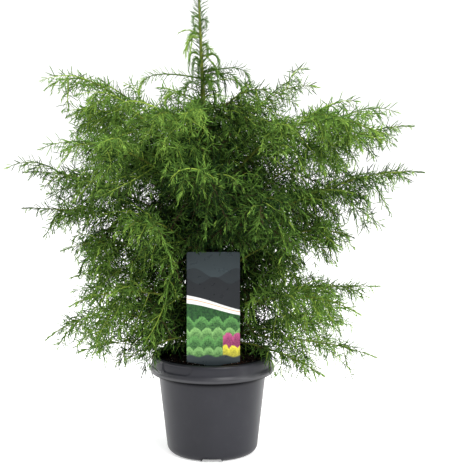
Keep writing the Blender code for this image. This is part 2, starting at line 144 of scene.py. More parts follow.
class FoliageSettings(bpy.types.PropertyGroup):
    """Spacing, sizes and colours of twigs and needles."""

    needle_length: bpy.props.FloatProperty(
        name="Needle length", description="Length of a full-grown needle", default=0.0185,
        min=0.004, max=0.03, unit="LENGTH")
    needle_width: bpy.props.FloatProperty(
        name="Needle width", description="Width of a needle at its widest", default=0.00150,
        min=0.0003, max=0.003, unit="LENGTH")
    needle_step: bpy.props.FloatProperty(
        name="Needle spacing", description="Length of twig for each needle", default=0.00400,
        min=0.0005, max=0.01, unit="LENGTH")
    twig_step: bpy.props.FloatProperty(
        name="Twig spacing", description="Length of bough between two side twigs", default=0.0066,
        min=0.003, max=0.05, unit="LENGTH")
    # The shaded tint is painted shade, for needles deep in the crown.
    shaded: bpy.props.FloatVectorProperty(
        name="Shaded needles", description="Colour of needles deep in the crown",
        default=(0.010, 0.032, 0.007), size=3, min=0.0, max=1.0, subtype="COLOR")
    grown: bpy.props.FloatVectorProperty(
        name="Grown needles", description="Colour of full-grown needles in the light",
        default=(0.126, 0.252, 0.040), size=3, min=0.0, max=1.0, subtype="COLOR")
    fresh: bpy.props.FloatVectorProperty(
        name="Fresh needles", description="Colour of the new growth at the shoot tips",
        default=(0.310, 0.490, 0.085), size=3, min=0.0, max=1.0, subtype="COLOR")


class StudioSettings(bpy.types.PropertyGroup):
    """Floor and light of the studio."""

    floor: bpy.props.FloatVectorProperty(
        name="Floor", description="Colour of the pale floor", default=(0.90, 0.90, 0.90),
        size=3, min=0.0, max=1.0, subtype="COLOR")
    sky: bpy.props.FloatProperty(
        name="Room light", description="Strength of the even light all round", default=0.64,
        min=0.0, max=5.0)
    key: bpy.props.FloatProperty(
        name="Main lamp", description="Power of the large lamp above the front, in watts",
        default=50.0, min=0.0, max=500.0)


def new_finish(name, colour, roughness, **sockets):
    """A Principled material with its constant values on the shader's own sockets."""
    finish = bpy.data.materials.new(name)
    finish.use_nodes = True
    shader = finish.node_tree.nodes["Principled BSDF"]
    shader.inputs["Base Color"].default_value = (*colour[:3], 1.0)
    shader.inputs["Roughness"].default_value = roughness
    for socket, value in sockets.items():
        shader.inputs[socket.replace("_", " ")].default_value = value
    finish.diffuse_color = (*colour[:3], 1.0)
    return finish


class Wiring:
    """Short calls that add nodes to a material and wire them up."""

    def __init__(self, finish):
        self.tree = finish.node_tree
        self.shader = self.tree.nodes["Principled BSDF"]

    def add(self, kind, inputs=(), **settings):
        """A node with its settings; inputs pair a socket with a value or another node's socket."""
        made = self.tree.nodes.new(kind)
        for name, value in settings.items():
            setattr(made, name, value)
        for socket, value in dict(inputs).items():
            self.join(value, made.inputs[socket])
        return made

    def join(self, value, socket):
        if isinstance(value, bpy.types.NodeSocket):
            self.tree.links.new(value, socket)
        else:
            socket.default_value = value

    def place(self):
        """Object coordinates."""
        return self.add("ShaderNodeTexCoord").outputs["Object"]

    def uv(self, name):
        return self.add("ShaderNodeUVMap", uv_map=name).outputs["UV"]

    def stretched(self, source, scale):
        node = self.add("ShaderNodeMapping", {"Vector": source, "Scale": scale})
        return node.outputs["Vector"]

    def noise(self, source, scale, detail=3.0, roughness=0.55):
        inputs = {"Vector": source, "Scale": scale, "Detail": detail, "Roughness": roughness}
        return self.add("ShaderNodeTexNoise", inputs).outputs["Fac"]

    def maths(self, operation, first, second=0.0, third=0.0):
        inputs = {0: first, 1: second, 2: third}
        return self.add("ShaderNodeMath", inputs, operation=operation).outputs[0]

    def between(self, value, low, high, start=0.0, end=1.0):
        """Maps low..high smoothly to start..end."""
        inputs = {"Value": value, "From Min": low, "From Max": high, "To Min": start, "To Max": end}
        node = self.add("ShaderNodeMapRange", inputs, interpolation_type="SMOOTHSTEP")
        return node.outputs["Result"]

    def mix(self, share, first, second):
        """A mix of two colours, each a socket or three numbers."""
        node = self.add("ShaderNodeMix", data_type="RGBA")
        self.join(share, node.inputs[0])
        for socket, colour in ((node.inputs[6], first), (node.inputs[7], second)):
            self.join(colour if isinstance(colour, bpy.types.NodeSocket) else (*colour[:3], 1.0), socket)
        return node.outputs[2]

    def colour(self, source):
        self.join(source, self.shader.inputs["Base Color"])

    def roughness(self, source):
        self.join(source, self.shader.inputs["Roughness"])

    def bump(self, height, distance, strength=1.0):
        inputs = {"Height": height, "Distance": distance, "Strength": strength}
        node = self.add("ShaderNodeBump", inputs)
        self.join(node.outputs["Normal"], self.shader.inputs["Normal"])


def put_mesh(name, points, faces, finishes, kinds=None, uvs=None, uv_name="surface"):
    """A joined mesh from arrays: points (n, 3), faces (m, 3 or 4) and one finish number a face.

    Corners where a face repeats its last point are left out, so a four-sided grid may hold
    triangles at its poles. uvs hold one pair for each point.
    """
    mesh = bpy.data.meshes.new(name)
    faces = np.asarray(faces, np.int32)
    keep = np.ones(faces.shape, bool)
    keep[:, 1:] = faces[:, 1:] != faces[:, :-1]
    keep[:, -1] &= faces[:, -1] != faces[:, 0]
    corners = faces[keep]
    counts = keep.sum(axis=1)
    mesh.vertices.add(len(points))
    mesh.vertices.foreach_set("co", np.asarray(points, np.float32).ravel())
    mesh.loops.add(len(corners))
    mesh.loops.foreach_set("vertex_index", corners)
    mesh.polygons.add(len(faces))
    mesh.polygons.foreach_set("loop_start", (np.cumsum(counts) - counts).astype(np.int32))
    for finish in finishes:
        mesh.materials.append(finish)
    if kinds is not None:
        mesh.polygons.foreach_set("material_index", np.asarray(kinds, np.int32))
    if uvs is not None:
        layer = mesh.uv_layers.new(name=uv_name)
        layer.data.foreach_set("uv", np.asarray(uvs, np.float32)[corners].ravel())
    mesh.update(calc_edges=True)
    thing = bpy.data.objects.new(name, mesh)
    bpy.context.scene.collection.objects.link(thing)
    return thing


def grid_faces(rows, columns, closed):
    """Four-sided faces of a grid of points, row by row; closed joins the last column to the first."""
    across = np.arange(columns if closed else columns - 1)
    following = (across + 1) % columns
    starts = np.arange(rows - 1)[:, None] * columns
    corners = (starts + across, starts + following, starts + columns + following,
               starts + columns + across)
    return np.stack(corners, axis=-1).reshape(-1, 4)


def closed_faces(rows, columns, flip=False):
    """Faces of a grid of points whose last column joins its first, and two fans that close it: one to
    the point that follows the grid, before the first row, and one to the next point, past the last
    row. flip turns every face round."""
    ring = np.arange(columns)
    following = (ring + 1) % columns
    pole = np.full(columns, rows * columns)
    end = (rows - 1) * columns
    low = np.stack((pole, following, ring, ring), axis=1)
    high = np.stack((end + ring, end + following, pole + 1, pole + 1), axis=1)
    faces = np.vstack((grid_faces(rows, columns, True), low, high))
    return faces[:, ::-1] if flip else faces


def turned(radius, height, columns):
    """Points of a profile carried round the axis, with a row for each radius and height."""
    turn = np.linspace(0.0, math.tau, columns, endpoint=False)
    radius, height = np.asarray(radius)[:, None], np.asarray(height)[:, None]
    return np.stack((radius * np.cos(turn), radius * np.sin(turn), height + 0.0 * turn), axis=-1)


def settle(thing, slot, *nodes):
    """Tie a finished piece to the plant's body and hide the frame's nodes that it stands for; slot is not
    used.
    """
    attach(thing, BODY)
    if nodes:
        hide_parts(*nodes)
    return thing


# Pot, soil and card

POT_FOOT_RADIUS = 0.0694
POT_BODY_TOP = 0.0850
LIP_RADIUS = 0.0820
WALL = 0.0018
FLOOR_THICK = 0.0020
FOOT_FILLET = 0.012
COLLAR_DROP = 0.0275
NOTCHES = 3
NOTCH_TOP_WIDTH = 0.0245
NOTCH_FOOT_WIDTH = 0.035
NOTCH_HEIGHT = 0.0068
NOTCH_DEPTH = 0.017
GRIP_HEADING = math.radians(-126.0)
GRIP_HALF_WIDTH = 0.029
GRIP_FOOT_DROP = 0.0165
GRIP_DEPTH = 0.0010
RIDGE = 0.0006
# Height of the painted shade under the collar's bead.
PAINTED_SHADE_HEIGHT = 0.0095
POT_COLUMNS = 288
SOIL_EDGE_Z = 0.1390
SOIL_TOP_Z = 0.1420
SOIL_RINGS = 60
SOIL_COLUMNS = 160

# Radius and height down the side of the root ball to its foot.
SOIL_SIDE = ((0.0768, 0.100), (0.0662, 0.013), (0.0655, 0.006), (0.0520, 0.0024))


def rounded_run(points, steps):
    """A smooth profile through a few points: Catmull-Rom curves, each span in equal steps."""
    knots = np.asarray(points, float)
    knots = np.vstack((2 * knots[0] - knots[1], knots, 2 * knots[-1] - knots[-2]))
    share = np.linspace(0.0, 1.0, steps, endpoint=False)[:, None]
    runs = []
    for before, start, end, after in zip(knots, knots[1:], knots[2:], knots[3:]):
        runs.append(0.5 * (2 * start + (end - before) * share
                           + (2 * before - 5 * start + 4 * end - after) * share ** 2
                           + (3 * start - before - 3 * end + after) * share ** 3))
    return np.vstack(runs + [knots[-2:-1]])


def pot_wall_radius(height, top):
    """Outer radius of the tapering body at a height."""
    return POT_FOOT_RADIUS + (POT_BODY_TOP - POT_FOOT_RADIUS) * (height - FOOT_FILLET) / (top - FOOT_FILLET)


def pot_profile(radius, height):
    """Radius and height of the wall, from the inside of the floor over the lip down to the foot."""
    top = height - WALL
    turn = np.linspace(0.0, 0.5 * math.pi, 9)
    centre = POT_FOOT_RADIUS - FOOT_FILLET
    small = FOOT_FILLET - FLOOR_THICK
    fillet = np.stack((centre + FOOT_FILLET * np.cos(turn), FOOT_FILLET * (1 - np.sin(turn))), axis=1)
    inner_fillet = np.stack((centre + small * np.cos(turn), FOOT_FILLET - small * np.sin(turn)), axis=1)
    inside = np.vstack(([(0.0, FLOOR_THICK)], inner_fillet[::-1]))
    inner_wall = rounded_run(((centre + small, FOOT_FILLET), (LIP_RADIUS - 0.004, 0.110),
                              (LIP_RADIUS, height - 0.0040)), 6)[1:]
    lip = rounded_run((
        (LIP_RADIUS, height - 0.0016), (LIP_RADIUS + 0.0006, height - 0.0004),
        (LIP_RADIUS + 0.0018, height), (LIP_RADIUS + 0.0042, height - 0.0004),
        (radius - 0.0052, height - 0.0016), (radius - 0.0036, height - 0.0048),
        (radius - 0.0030, height - 0.0100), (radius - 0.0025, height - 0.0150),
        (radius - 0.0010, height - 0.0186), (radius, height - 0.0218),
        (radius - 0.0005, height - COLLAR_DROP + 0.0024),
        (radius - 0.0019, height - COLLAR_DROP + 0.0004), (radius - 0.0032, height - COLLAR_DROP)), 5)
    under = rounded_run((
        (radius - 0.0042, height - COLLAR_DROP + 0.0012), (radius - 0.0050, height - 0.0150),
        (radius - 0.0066, height - 0.0060), (radius - 0.0085, top - 0.0022),
        (pot_wall_radius(top - 0.0035, top) + 0.0006, top - 0.0026),
        (pot_wall_radius(top - 0.0060, top), top - 0.0060)), 4)
    heights = np.linspace(top - 0.012, FOOT_FILLET, 30)
    outer = np.stack((pot_wall_radius(heights, top), heights), axis=1)
    foot = np.stack((np.linspace(centre, 0.040, 14)[1:], np.zeros(13)), axis=1)
    return np.vstack((inside, inner_wall, lip, under, outer, fillet[1:], foot, [(0.0, 0.0)]))


def notch_lift(across, radius):
    """How far the foot is raised at a notch: a trapezoid with sloping ends, which reaches NOTCH_DEPTH
    inwards from the rim."""
    half = 0.5 * NOTCH_TOP_WIDTH
    slope = 0.5 * (NOTCH_FOOT_WIDTH - NOTCH_TOP_WIDTH)
    ends = np.clip((half + slope - np.abs(across)) / slope, 0.0, 1.0)
    inner = smooth(POT_FOOT_RADIUS - NOTCH_DEPTH - 0.002, POT_FOOT_RADIUS - NOTCH_DEPTH, radius)
    return NOTCH_HEIGHT * ends * inner


def grip_relief(across, drop, top_half):
    """Inset of the grip panel: GRIP_DEPTH inside a round-ended shape, and a low ridge along its edge."""
    corner = 0.010
    wide = np.maximum(np.abs(across) - (GRIP_HALF_WIDTH - corner), 0.0)
    low = np.maximum(drop - (GRIP_FOOT_DROP - corner), 0.0)
    edge = np.hypot(wide, low) - corner
    inset = GRIP_DEPTH * (1.0 - smooth(-0.0012, 0.0004, edge))
    ridge = RIDGE * np.exp(-(edge / 0.0009) ** 2)
    return (inset - ridge) * smooth(0.0012, 0.0042, drop) * top_half


def pot_finish(colour, collar_foot):
    """Moulded charcoal plastic: a soft sheen, glossier on the collar's bead, with a fine orange-peel
    grain and faint dust. Under the bead and on the wall below it, over the height PAINTED_SHADE_HEIGHT,
    it is painted darker and dull: painted shade where the collar shades the wall."""
    finish = new_finish("moulded pot plastic", colour, 0.42, Specular_IOR_Level=0.25)
    wiring = Wiring(finish)
    place = wiring.place()
    cloud = wiring.noise(place, 16.0, 4.0)
    dust = wiring.between(wiring.noise(place, 70.0, 5.0), 0.52, 0.80, 0.0, 0.08)
    pale = [0.5 * part + 0.06 for part in colour]
    toned = wiring.mix(wiring.between(cloud, 0.35, 0.7), colour, [1.18 * part for part in colour])
    parts = wiring.add("ShaderNodeSeparateXYZ", {0: place})
    height, across = parts.outputs[2], wiring.maths("MULTIPLY", parts.outputs[0], parts.outputs[0])
    around = wiring.maths("SQRT", wiring.maths("MULTIPLY_ADD", parts.outputs[1], parts.outputs[1], across))
    # Painted shade: a darker, duller band under the collar's bead and on the wall below it, where the
    # collar shades the wall.
    under = wiring.between(height, collar_foot - PAINTED_SHADE_HEIGHT, collar_foot - 0.0005)
    above = wiring.between(height, collar_foot + 0.0006, collar_foot + 0.0032, 1.0, 0.0)
    on_wall = wiring.between(around, POT_BODY_TOP + 0.001, POT_BODY_TOP + 0.003, 1.0, 0.0)
    under = wiring.maths("MULTIPLY", under, wiring.maths("MAXIMUM", above, on_wall))
    shaded = wiring.mix(under, wiring.mix(dust, toned, pale), [0.10 * part for part in colour])
    wiring.colour(shaded)
    gloss = wiring.between(around, POT_BODY_TOP + 0.0072, POT_BODY_TOP + 0.0098, 0.24, 0.56)
    gloss = wiring.maths("MULTIPLY", gloss, wiring.between(under, 0.0, 1.0, 1.0, 0.05))
    wiring.join(gloss, wiring.shader.inputs["Specular IOR Level"])
    wiring.roughness(wiring.between(cloud, 0.3, 0.7, 0.33, 0.41))
    streaks = wiring.stretched(place, (900.0, 900.0, 240.0))
    wiring.bump(wiring.noise(streaks, 1.0, 2.0), 0.00005, 0.6)
    return finish


def make_pot(settings):
    """The turned wall: its profile carried round the axis, with the foot raised at the drain notches
    and the collar pressed in at the grip panel."""
    profile = pot_profile(settings.collar_radius, settings.height)
    radius, height = profile[1:-1, 0][:, None], profile[1:-1, 1][:, None]
    turn = np.linspace(0.0, math.tau, POT_COLUMNS, endpoint=False)[None, :]
    rows = np.arange(len(profile) - 2)[:, None]
    outer = rows > np.argmax(profile[:, 0])
    section = math.tau / NOTCHES
    from_notch = (turn + 0.5 * math.pi + 0.5 * section) % section - 0.5 * section
    lift = np.where(outer, notch_lift(from_notch * POT_FOOT_RADIUS, radius), 0.0)
    raised = np.maximum(height, lift)
    edge = pot_wall_radius(np.maximum(raised, FOOT_FILLET), settings.height - WALL)
    rim = outer & (radius > POT_FOOT_RADIUS - FOOT_FILLET)
    full = np.where(rim & (raised > height), np.minimum(edge, POT_FOOT_RADIUS), radius)
    across = ((turn - GRIP_HEADING + math.pi) % math.tau - math.pi) * settings.collar_radius
    over_lip = (rows > np.argmax(profile[:, 1]) - 1) & (height > settings.height - COLLAR_DROP)
    front = over_lip & (radius > settings.collar_radius - 0.0040)
    full = full - grip_relief(across, settings.height - height, front)
    points = np.stack((full * np.cos(turn), full * np.sin(turn), raised), axis=-1)
    points = np.vstack((points.reshape(-1, 3), [(0.0, 0.0, FLOOR_THICK), (0.0, 0.0, 0.0)]))
    faces = closed_faces(len(profile) - 2, POT_COLUMNS, flip=True)
    finish = pot_finish(settings.colour, settings.height - COLLAR_DROP)
    pot = put_mesh("pot_wall", points, faces, [finish])
    return settle(pot, "pot_plastic", "pot")


def soil_finish(name, dark, light, scale):
    """Crumbly potting soil: dark and lighter crumbs by noise, fully rough."""
    finish = new_finish(name, dark, 0.95, Specular_IOR_Level=0.2)
    wiring = Wiring(finish)
    crumbs = wiring.noise(wiring.place(), scale, 4.0, 0.65)
    wiring.colour(wiring.mix(wiring.between(crumbs, 0.42, 0.68), dark, light))
    wiring.bump(crumbs, 0.0008, 0.8)
    return finish


def soil_height(points):
    """Crown of the soil: a little higher at the trunk, with lumps of two sizes."""
    around = np.hypot(points[..., 0], points[..., 1])
    base = SOIL_TOP_Z - 0.0005 - (SOIL_TOP_Z - SOIL_EDGE_Z) * smooth(0.02, 0.082, around)
    flat = points * (1.0, 1.0, 0.0)
    lumps = 0.0011 * ripples(flat, 0.018, SEED) + 0.0006 * ripples(flat, 0.005, SEED + 1)
    return base + lumps * smooth(0.012, 0.018, around)


def make_soil(settings):
    """Two pieces: the lumpy top and sides of the root ball, and the loose grains that lie on it."""
    top = turned(np.linspace(0.003, LIP_RADIUS - 0.0012, SOIL_RINGS), np.zeros(SOIL_RINGS), SOIL_COLUMNS)
    top[..., 2] = soil_height(top)
    side_radius, side_height = np.array(SOIL_SIDE).T
    side = turned(side_radius, side_height, SOIL_COLUMNS)
    poles = [(0.0, 0.0, SOIL_TOP_Z - 0.0005), (0.0, 0.0, side_height[-1])]
    points = np.vstack((np.vstack((top, side)).reshape(-1, 3), poles))
    faces = closed_faces(SOIL_RINGS + len(SOIL_SIDE), SOIL_COLUMNS, flip=True)
    finish = soil_finish("potting soil", (0.010, 0.007, 0.005), (0.045, 0.028, 0.018), 420.0)
    ball = put_mesh("soil_ball", points, faces, [finish])
    settle(ball, "soil", "soil")
    return ball, make_grains(settings.grains)


def make_grains(count):
    """Loose lumps of peat and bark: octahedra with their corners drawn in or out. A few are pale, more
    of them at the left, and more of the bark lies at the right."""
    chance = np.random.default_rng(SEED + 5)
    corners = np.array([(1, 0, 0), (0, 1, 0), (-1, 0, 0), (0, -1, 0), (0, 0, 1), (0, 0, -1)], float)
    above = [(0, 1, 4), (1, 2, 4), (2, 3, 4), (3, 0, 4)]
    below = [(1, 0, 5), (2, 1, 5), (3, 2, 5), (0, 3, 5)]
    around = np.sqrt(chance.uniform(0.13 ** 2, 0.95 ** 2, count)) * (LIP_RADIUS - 0.002)
    turn = chance.uniform(0, math.tau, count)
    middle = np.stack((around * np.cos(turn), around * np.sin(turn), np.zeros(count)), axis=1)
    size = chance.uniform(0.0006, 0.0019, count)
    middle[:, 2] = soil_height(middle) + 0.2 * size
    shapes = corners[None] * chance.uniform(0.6, 1.15, (count, 6, 1)) * size[:, None, None]
    shapes *= chance.uniform(0.6, 1.5, (count, 1, 3))
    spin = chance.uniform(0, math.tau, count)
    across = shapes[..., 0] * np.cos(spin)[:, None] - shapes[..., 1] * np.sin(spin)[:, None]
    along = shapes[..., 0] * np.sin(spin)[:, None] + shapes[..., 1] * np.cos(spin)[:, None]
    points = np.stack((across, along, shapes[..., 2]), axis=-1) + middle[:, None]
    faces = np.array(above + below)[None] + 6 * np.arange(count)[:, None, None]
    pale = chance.uniform(size=count) < 0.02 + 0.05 * (middle[:, 0] < 0.0)
    bark = chance.uniform(size=count) < 0.30 + 0.40 * (middle[:, 0] > 0.02)
    kinds = np.repeat(np.where(pale, 2, np.where(bark, 1, 0)), 8)
    finishes = [
        soil_finish("peat crumbs", (0.012, 0.008, 0.006), (0.030, 0.020, 0.013), 900.0),
        soil_finish("bark crumbs", (0.050, 0.022, 0.014), (0.120, 0.056, 0.038), 700.0),
        soil_finish("pale grains", (0.42, 0.40, 0.36), (0.62, 0.60, 0.55), 500.0),
    ]
    grains = put_mesh("soil_grains", points.reshape(-1, 3), faces.reshape(-1, 3), finishes, kinds)
    return settle(grains, "soil", "soil")


CARD_X = 0.0025
CARD_Y = -0.0655
CARD_SHOULDER_Z = 0.146
CARD_TOP_Z = 0.317
CARD_POINT_Z = 0.092
CARD_STAKE = 0.024
CARD_THICK = 0.0008
CARD_LEAN = math.radians(7.0)
CARD_STEP = 0.0035
CARD_CORNER = 0.0022
CARD_BEND = 0.0006
CARD_COLUMNS = 24


def card_half_width(up, width):
    """Half width of card and stake at a height over the shoulder: rounded corners above, a step down
    to the stake at the shoulder and a point at its foot."""
    half, stake, top = 0.5 * width, 0.5 * CARD_STAKE, CARD_TOP_Z - CARD_SHOULDER_Z
    above = np.clip((up - (top - CARD_CORNER)) / CARD_CORNER, 0.0, 1.0)
    rounded = half - CARD_CORNER * (1.0 - np.sqrt(1.0 - above ** 2))
    below = half - (half - stake) * smooth(CARD_STEP, -0.0050, up)
    point = np.clip((up - (CARD_POINT_Z - CARD_SHOULDER_Z)) / 0.022, 0.0, 1.0)
    shaft = 0.0012 + (stake - 0.0012) * point
    return np.where(up > CARD_STEP, rounded, np.minimum(below, np.maximum(shaft, 0.0012)))


# The card's print, in millimetres from its lower left corner. Hills: length, shift and depth of the
# wave, its height and how pale it is. Rows of mounds: their width and height. Flowers: row, width,
# light and deep tone.
CARD_HILLS = ((64.0, 0.6, 7.0, 140.0, 0.50), (47.0, 2.4, 5.0, 129.0, 0.12))
CARD_DARK = (0.013, 0.014, 0.017)
CARD_MOUNDS = ((22.0, 66.0), (17.0, 52.0), (20.0, 38.0), (15.0, 24.0))
CARD_GREENS = ((0.010, 0.045, 0.014), (0.025, 0.100, 0.024), (0.120, 0.330, 0.085), (0.240, 0.470, 0.150))
CARD_FLOWERS = ((46.0, 13.0, (0.52, 0.09, 0.24), (0.156, 0.024, 0.072)),
                (28.0, 12.0, (0.80, 0.72, 0.06), (0.300, 0.276, 0.030)))


def card_finish(ground):
    """Printed card, drawn by rule on its own UV map in millimetres from the lower left corner:
    low hills under a slate sky, a pale sash with a thin orange line that falls to the right, a bed of
    clipped green mounds with magenta and yellow mounds on its right, and a slate foot."""
    finish = new_finish("printed card", ground, 0.36, Specular_IOR_Level=0.3)
    wiring = Wiring(finish)
    flat = wiring.uv("print")
    parts = wiring.add("ShaderNodeSeparateXYZ", {0: flat})
    across, up = parts.outputs[0], parts.outputs[1]
    leafy = wiring.noise(flat, 0.20, 4.0, 0.7)
    speckle = wiring.between(wiring.noise(flat, 0.38, 4.0, 0.8), 0.36, 0.60)

    def wave(size, shift, depth):
        turn = wiring.maths("MULTIPLY_ADD", across, math.tau / size, shift)
        return wiring.maths("MULTIPLY", wiring.maths("SINE", turn), depth)

    def over(edge, soft=0.35):
        gap = wiring.maths("SUBTRACT", up, edge)
        return wiring.between(gap, -soft, soft)

    def mounds(size, row, shift):
        """Upper edge of a row of overlapping half rounds, ragged like clipped leaves."""
        cell = wiring.maths("PINGPONG", wiring.maths("ADD", across, shift), 0.5 * size)
        bow = wiring.maths("POWER", wiring.maths("DIVIDE", cell, 0.5 * size), 2.0)
        bow = wiring.maths("SUBTRACT", 1.0, bow)
        ragged = wiring.maths("MULTIPLY_ADD", wiring.maths("SUBTRACT", leafy, 0.5), 0.6 * size, row)
        return wiring.maths("MULTIPLY_ADD", bow, 0.42 * size, ragged)

    def lit(edge, low, high):
        """Leafy mixture of a dark and a light tone, lighter towards the upper edge of its mound."""
        rise = wiring.between(wiring.maths("SUBTRACT", up, edge), -11.0, -1.0, 0.0, 0.55)
        return wiring.mix(wiring.maths("MULTIPLY_ADD", speckle, 0.45, rise), low, high)

    picture = wiring.mix(wiring.between(up, 118.0, 171.0), [1.3 * part for part in ground], ground)
    for size, shift, depth, height, shade in CARD_HILLS:
        edge = wiring.maths("ADD", wave(size, shift, depth), height)
        tone = [shade * part + (1 - shade) * deep for part, deep in zip(ground, CARD_DARK)]
        picture = wiring.mix(over(edge), tone, picture)

    bed = wiring.mix(wiring.between(leafy, 0.38, 0.60), CARD_GREENS[0], CARD_GREENS[1])
    for number, (size, row) in enumerate(CARD_MOUNDS):
        edge = mounds(size, row, 4.0 * number)
        tone = lit(edge, CARD_GREENS[number % 2], CARD_GREENS[2 + number % 2])
        bed = wiring.mix(over(edge, 0.8), tone, bed)
    right = wiring.between(across, 53.0, 54.5)
    for row, size, light, deep in CARD_FLOWERS:
        edge = mounds(size, row, 3.0)
        share = wiring.maths("MULTIPLY", right, wiring.maths("SUBTRACT", 1.0, over(edge, 0.6)))
        bed = wiring.mix(share, bed, lit(edge, deep, light))

    sash_level = wiring.maths("ADD", wave(150.0, 1.2, 3.0), 92.0)
    sash_foot = wiring.maths("MULTIPLY_ADD", across, -0.15, sash_level)
    sash_top = wiring.maths("ADD", sash_foot, wiring.maths("MULTIPLY_ADD", across, -0.05, 12.0))
    picture = wiring.mix(over(sash_foot), bed, picture)
    sash = wiring.maths("SUBTRACT", over(sash_foot), over(sash_top))
    picture = wiring.mix(sash, picture, (0.86, 0.86, 0.84))
    line = wiring.maths("ADD", sash_foot, wiring.maths("MULTIPLY_ADD", across, -0.02, 6.0))
    thin = wiring.maths("SUBTRACT", over(line, 0.25), over(wiring.maths("ADD", line, 1.0), 0.25))
    picture = wiring.mix(thin, picture, (0.78, 0.36, 0.13))
    foot = wiring.maths("ADD", wave(26.0, 0.4, 1.6), 17.0)
    picture = wiring.mix(over(foot, 1.6), [0.85 * part for part in ground], picture)
    wiring.colour(picture)
    wiring.roughness(wiring.between(wiring.noise(flat, 0.08, 3.0), 0.3, 0.7, 0.26, 0.38))
    return finish


def mottled(name, first, second, scale, roughness):
    """A plain plastic of two close tones, mixed by noise."""
    finish = new_finish(name, second, roughness)
    wiring = Wiring(finish)
    wiring.colour(wiring.mix(wiring.noise(wiring.place(), scale, 4.0), first, second))
    return finish


def make_card(settings):
    """A thin plate: its half width by height, with a front and a back that meet in rounded edges,
    leaning back about its shoulder."""
    top, foot = CARD_TOP_Z - CARD_SHOULDER_Z, CARD_POINT_Z - CARD_SHOULDER_Z
    corner_steps = CARD_CORNER * (1 - np.sin(np.linspace(0, 0.5 * math.pi, 9)))
    lower = np.linspace(foot, CARD_STEP, 40)
    upper = np.linspace(CARD_STEP, top - CARD_CORNER, 40)
    up = np.unique(np.concatenate((lower, upper, top - corner_steps)))
    half = card_half_width(up, settings.width)
    turn = np.linspace(0.0, math.tau, CARD_COLUMNS, endpoint=False)
    across = np.sign(np.cos(turn)) * np.abs(np.cos(turn)) ** 0.12
    depth = np.sign(np.sin(turn)) * np.abs(np.sin(turn)) ** 0.35
    side = half[:, None] * across[None, :]
    thick = np.full((len(up), 1), 0.5 * CARD_THICK) * depth[None, :]
    thick[0] *= 0.3
    thick[-1] *= 0.5
    bend = CARD_BEND * (side / (0.5 * settings.width)) ** 2 * smooth(0.0, 0.02, up)[:, None]
    local = np.stack((side, -thick - bend, up[:, None] + 0.0 * side), axis=-1).reshape(-1, 3)
    lean_cos, lean_sin = math.cos(CARD_LEAN), math.sin(CARD_LEAN)
    placed = np.stack((CARD_X + local[:, 0], CARD_Y + lean_cos * local[:, 1] + lean_sin * local[:, 2],
                       CARD_SHOULDER_Z - lean_sin * local[:, 1] + lean_cos * local[:, 2]), axis=1)
    caps = placed.reshape(len(up), CARD_COLUMNS, 3)[[0, -1]].mean(axis=1)
    points = np.vstack((placed, caps))
    faces = closed_faces(len(up), CARD_COLUMNS, flip=True)
    flat = np.stack((local[:, 0] + 0.5 * settings.width, local[:, 2]), axis=1)
    flat = 1000.0 * np.vstack((flat, [(0.5 * settings.width, foot), (0.5 * settings.width, top)]))
    centre = points[faces].mean(axis=1)
    back = centre[:, 1] > CARD_Y + (centre[:, 2] - CARD_SHOULDER_Z) * math.tan(CARD_LEAN) + 0.0001
    stake = centre[:, 2] < CARD_SHOULDER_Z
    finishes = [
        card_finish(settings.ground),
        mottled("card back", (0.50, 0.51, 0.52), (0.62, 0.63, 0.63), 220.0, 0.40),
        mottled("card stake", [0.8 * part for part in settings.ground], settings.ground, 160.0, 0.35),
    ]
    kinds = np.where(stake, 2, np.where(back, 1, 0))
    card = put_mesh("picture_card_print", points, faces, finishes, kinds, flat, "print")
    return settle(card, "card_plastic", "picture_card")


# Trunk and boughs, by the rule of the frame

TRUNK_FOOT_Z = 0.1423
TRUNK_TIP_Z = 0.693
TRUNK_TIP_X = -0.019
TRUNK_FOOT_RADIUS = 0.0076
TRUNK_TIP_RADIUS = 0.0011
FLARE = 0.0042
FLARE_HEIGHT = 0.012
TRUNK_BOW = 0.004
CREST = 0.022
SPRING = 0.62
SWAY = 0.05
LONG_REACH = 0.300
BOUGH_FOOT_RADIUS = 0.0032
BOUGH_STEPS = 8
LIMB_SHARE = 0.36
FINE = 4
TRUNK_SIDES = 28
BOUGH_SIDES = 10


def bough_girths():
    """Radius of each bough at its foot, greater for a longer reach."""
    reach = np.array([bough[2] for bough in BOUGHS])
    return BOUGH_FOOT_RADIUS * (0.4 + 0.6 * np.minimum(1.0, reach / LONG_REACH))


def trunk_points(heights):
    """Centre of the trunk at each height: a slight bow back and a lean towards the tip."""
    heights = np.asarray(heights, float)
    share = (heights - TRUNK_FOOT_Z) / (TRUNK_TIP_Z - TRUNK_FOOT_Z)
    return np.stack((TRUNK_TIP_X * share ** 1.2, TRUNK_BOW * np.sin(math.pi * share), heights), axis=-1)


def trunk_radii(heights):
    """Taper from foot to tip, with a flare that dies away above the soil."""
    share = (heights - TRUNK_FOOT_Z) / (TRUNK_TIP_Z - TRUNK_FOOT_Z)
    taper = TRUNK_TIP_RADIUS + (TRUNK_FOOT_RADIUS - TRUNK_TIP_RADIUS) * np.maximum(1 - share, 0.0) ** 0.85
    return taper + FLARE * np.exp(-(heights - TRUNK_FOOT_Z) / FLARE_HEIGHT)


def bough_path(number, steps):
    """Points of a bough, a cubic that springs up and out, crests, and droops to its tip."""
    foot, heading, reach, tip = BOUGHS[number]
    chance = random.Random(SEED + number)
    angle = math.radians(heading)
    out = np.array([math.cos(angle), math.sin(angle), 0.0])
    side = np.array([-math.sin(angle), math.cos(angle), 0.0])
    start = trunk_points(foot)
    end = out * reach + np.array([0.0, 0.0, tip])
    span = np.linalg.norm((end - start)[:2])
    first = start + out * span * 0.30 + np.array([0.0, 0.0, SPRING * (tip - foot) + CREST])
    second = start + out * span * 0.70 + side * span * SWAY * chance.uniform(-1, 1)
    second[2] = tip + CREST * (0.5 + reach / LONG_REACH)
    share = np.linspace(0.0, 1.0, steps + 1)[:, None]
    return (start * (1 - share) ** 3 + first * 3 * share * (1 - share) ** 2
            + second * 3 * share ** 2 * (1 - share) + end * share ** 3)


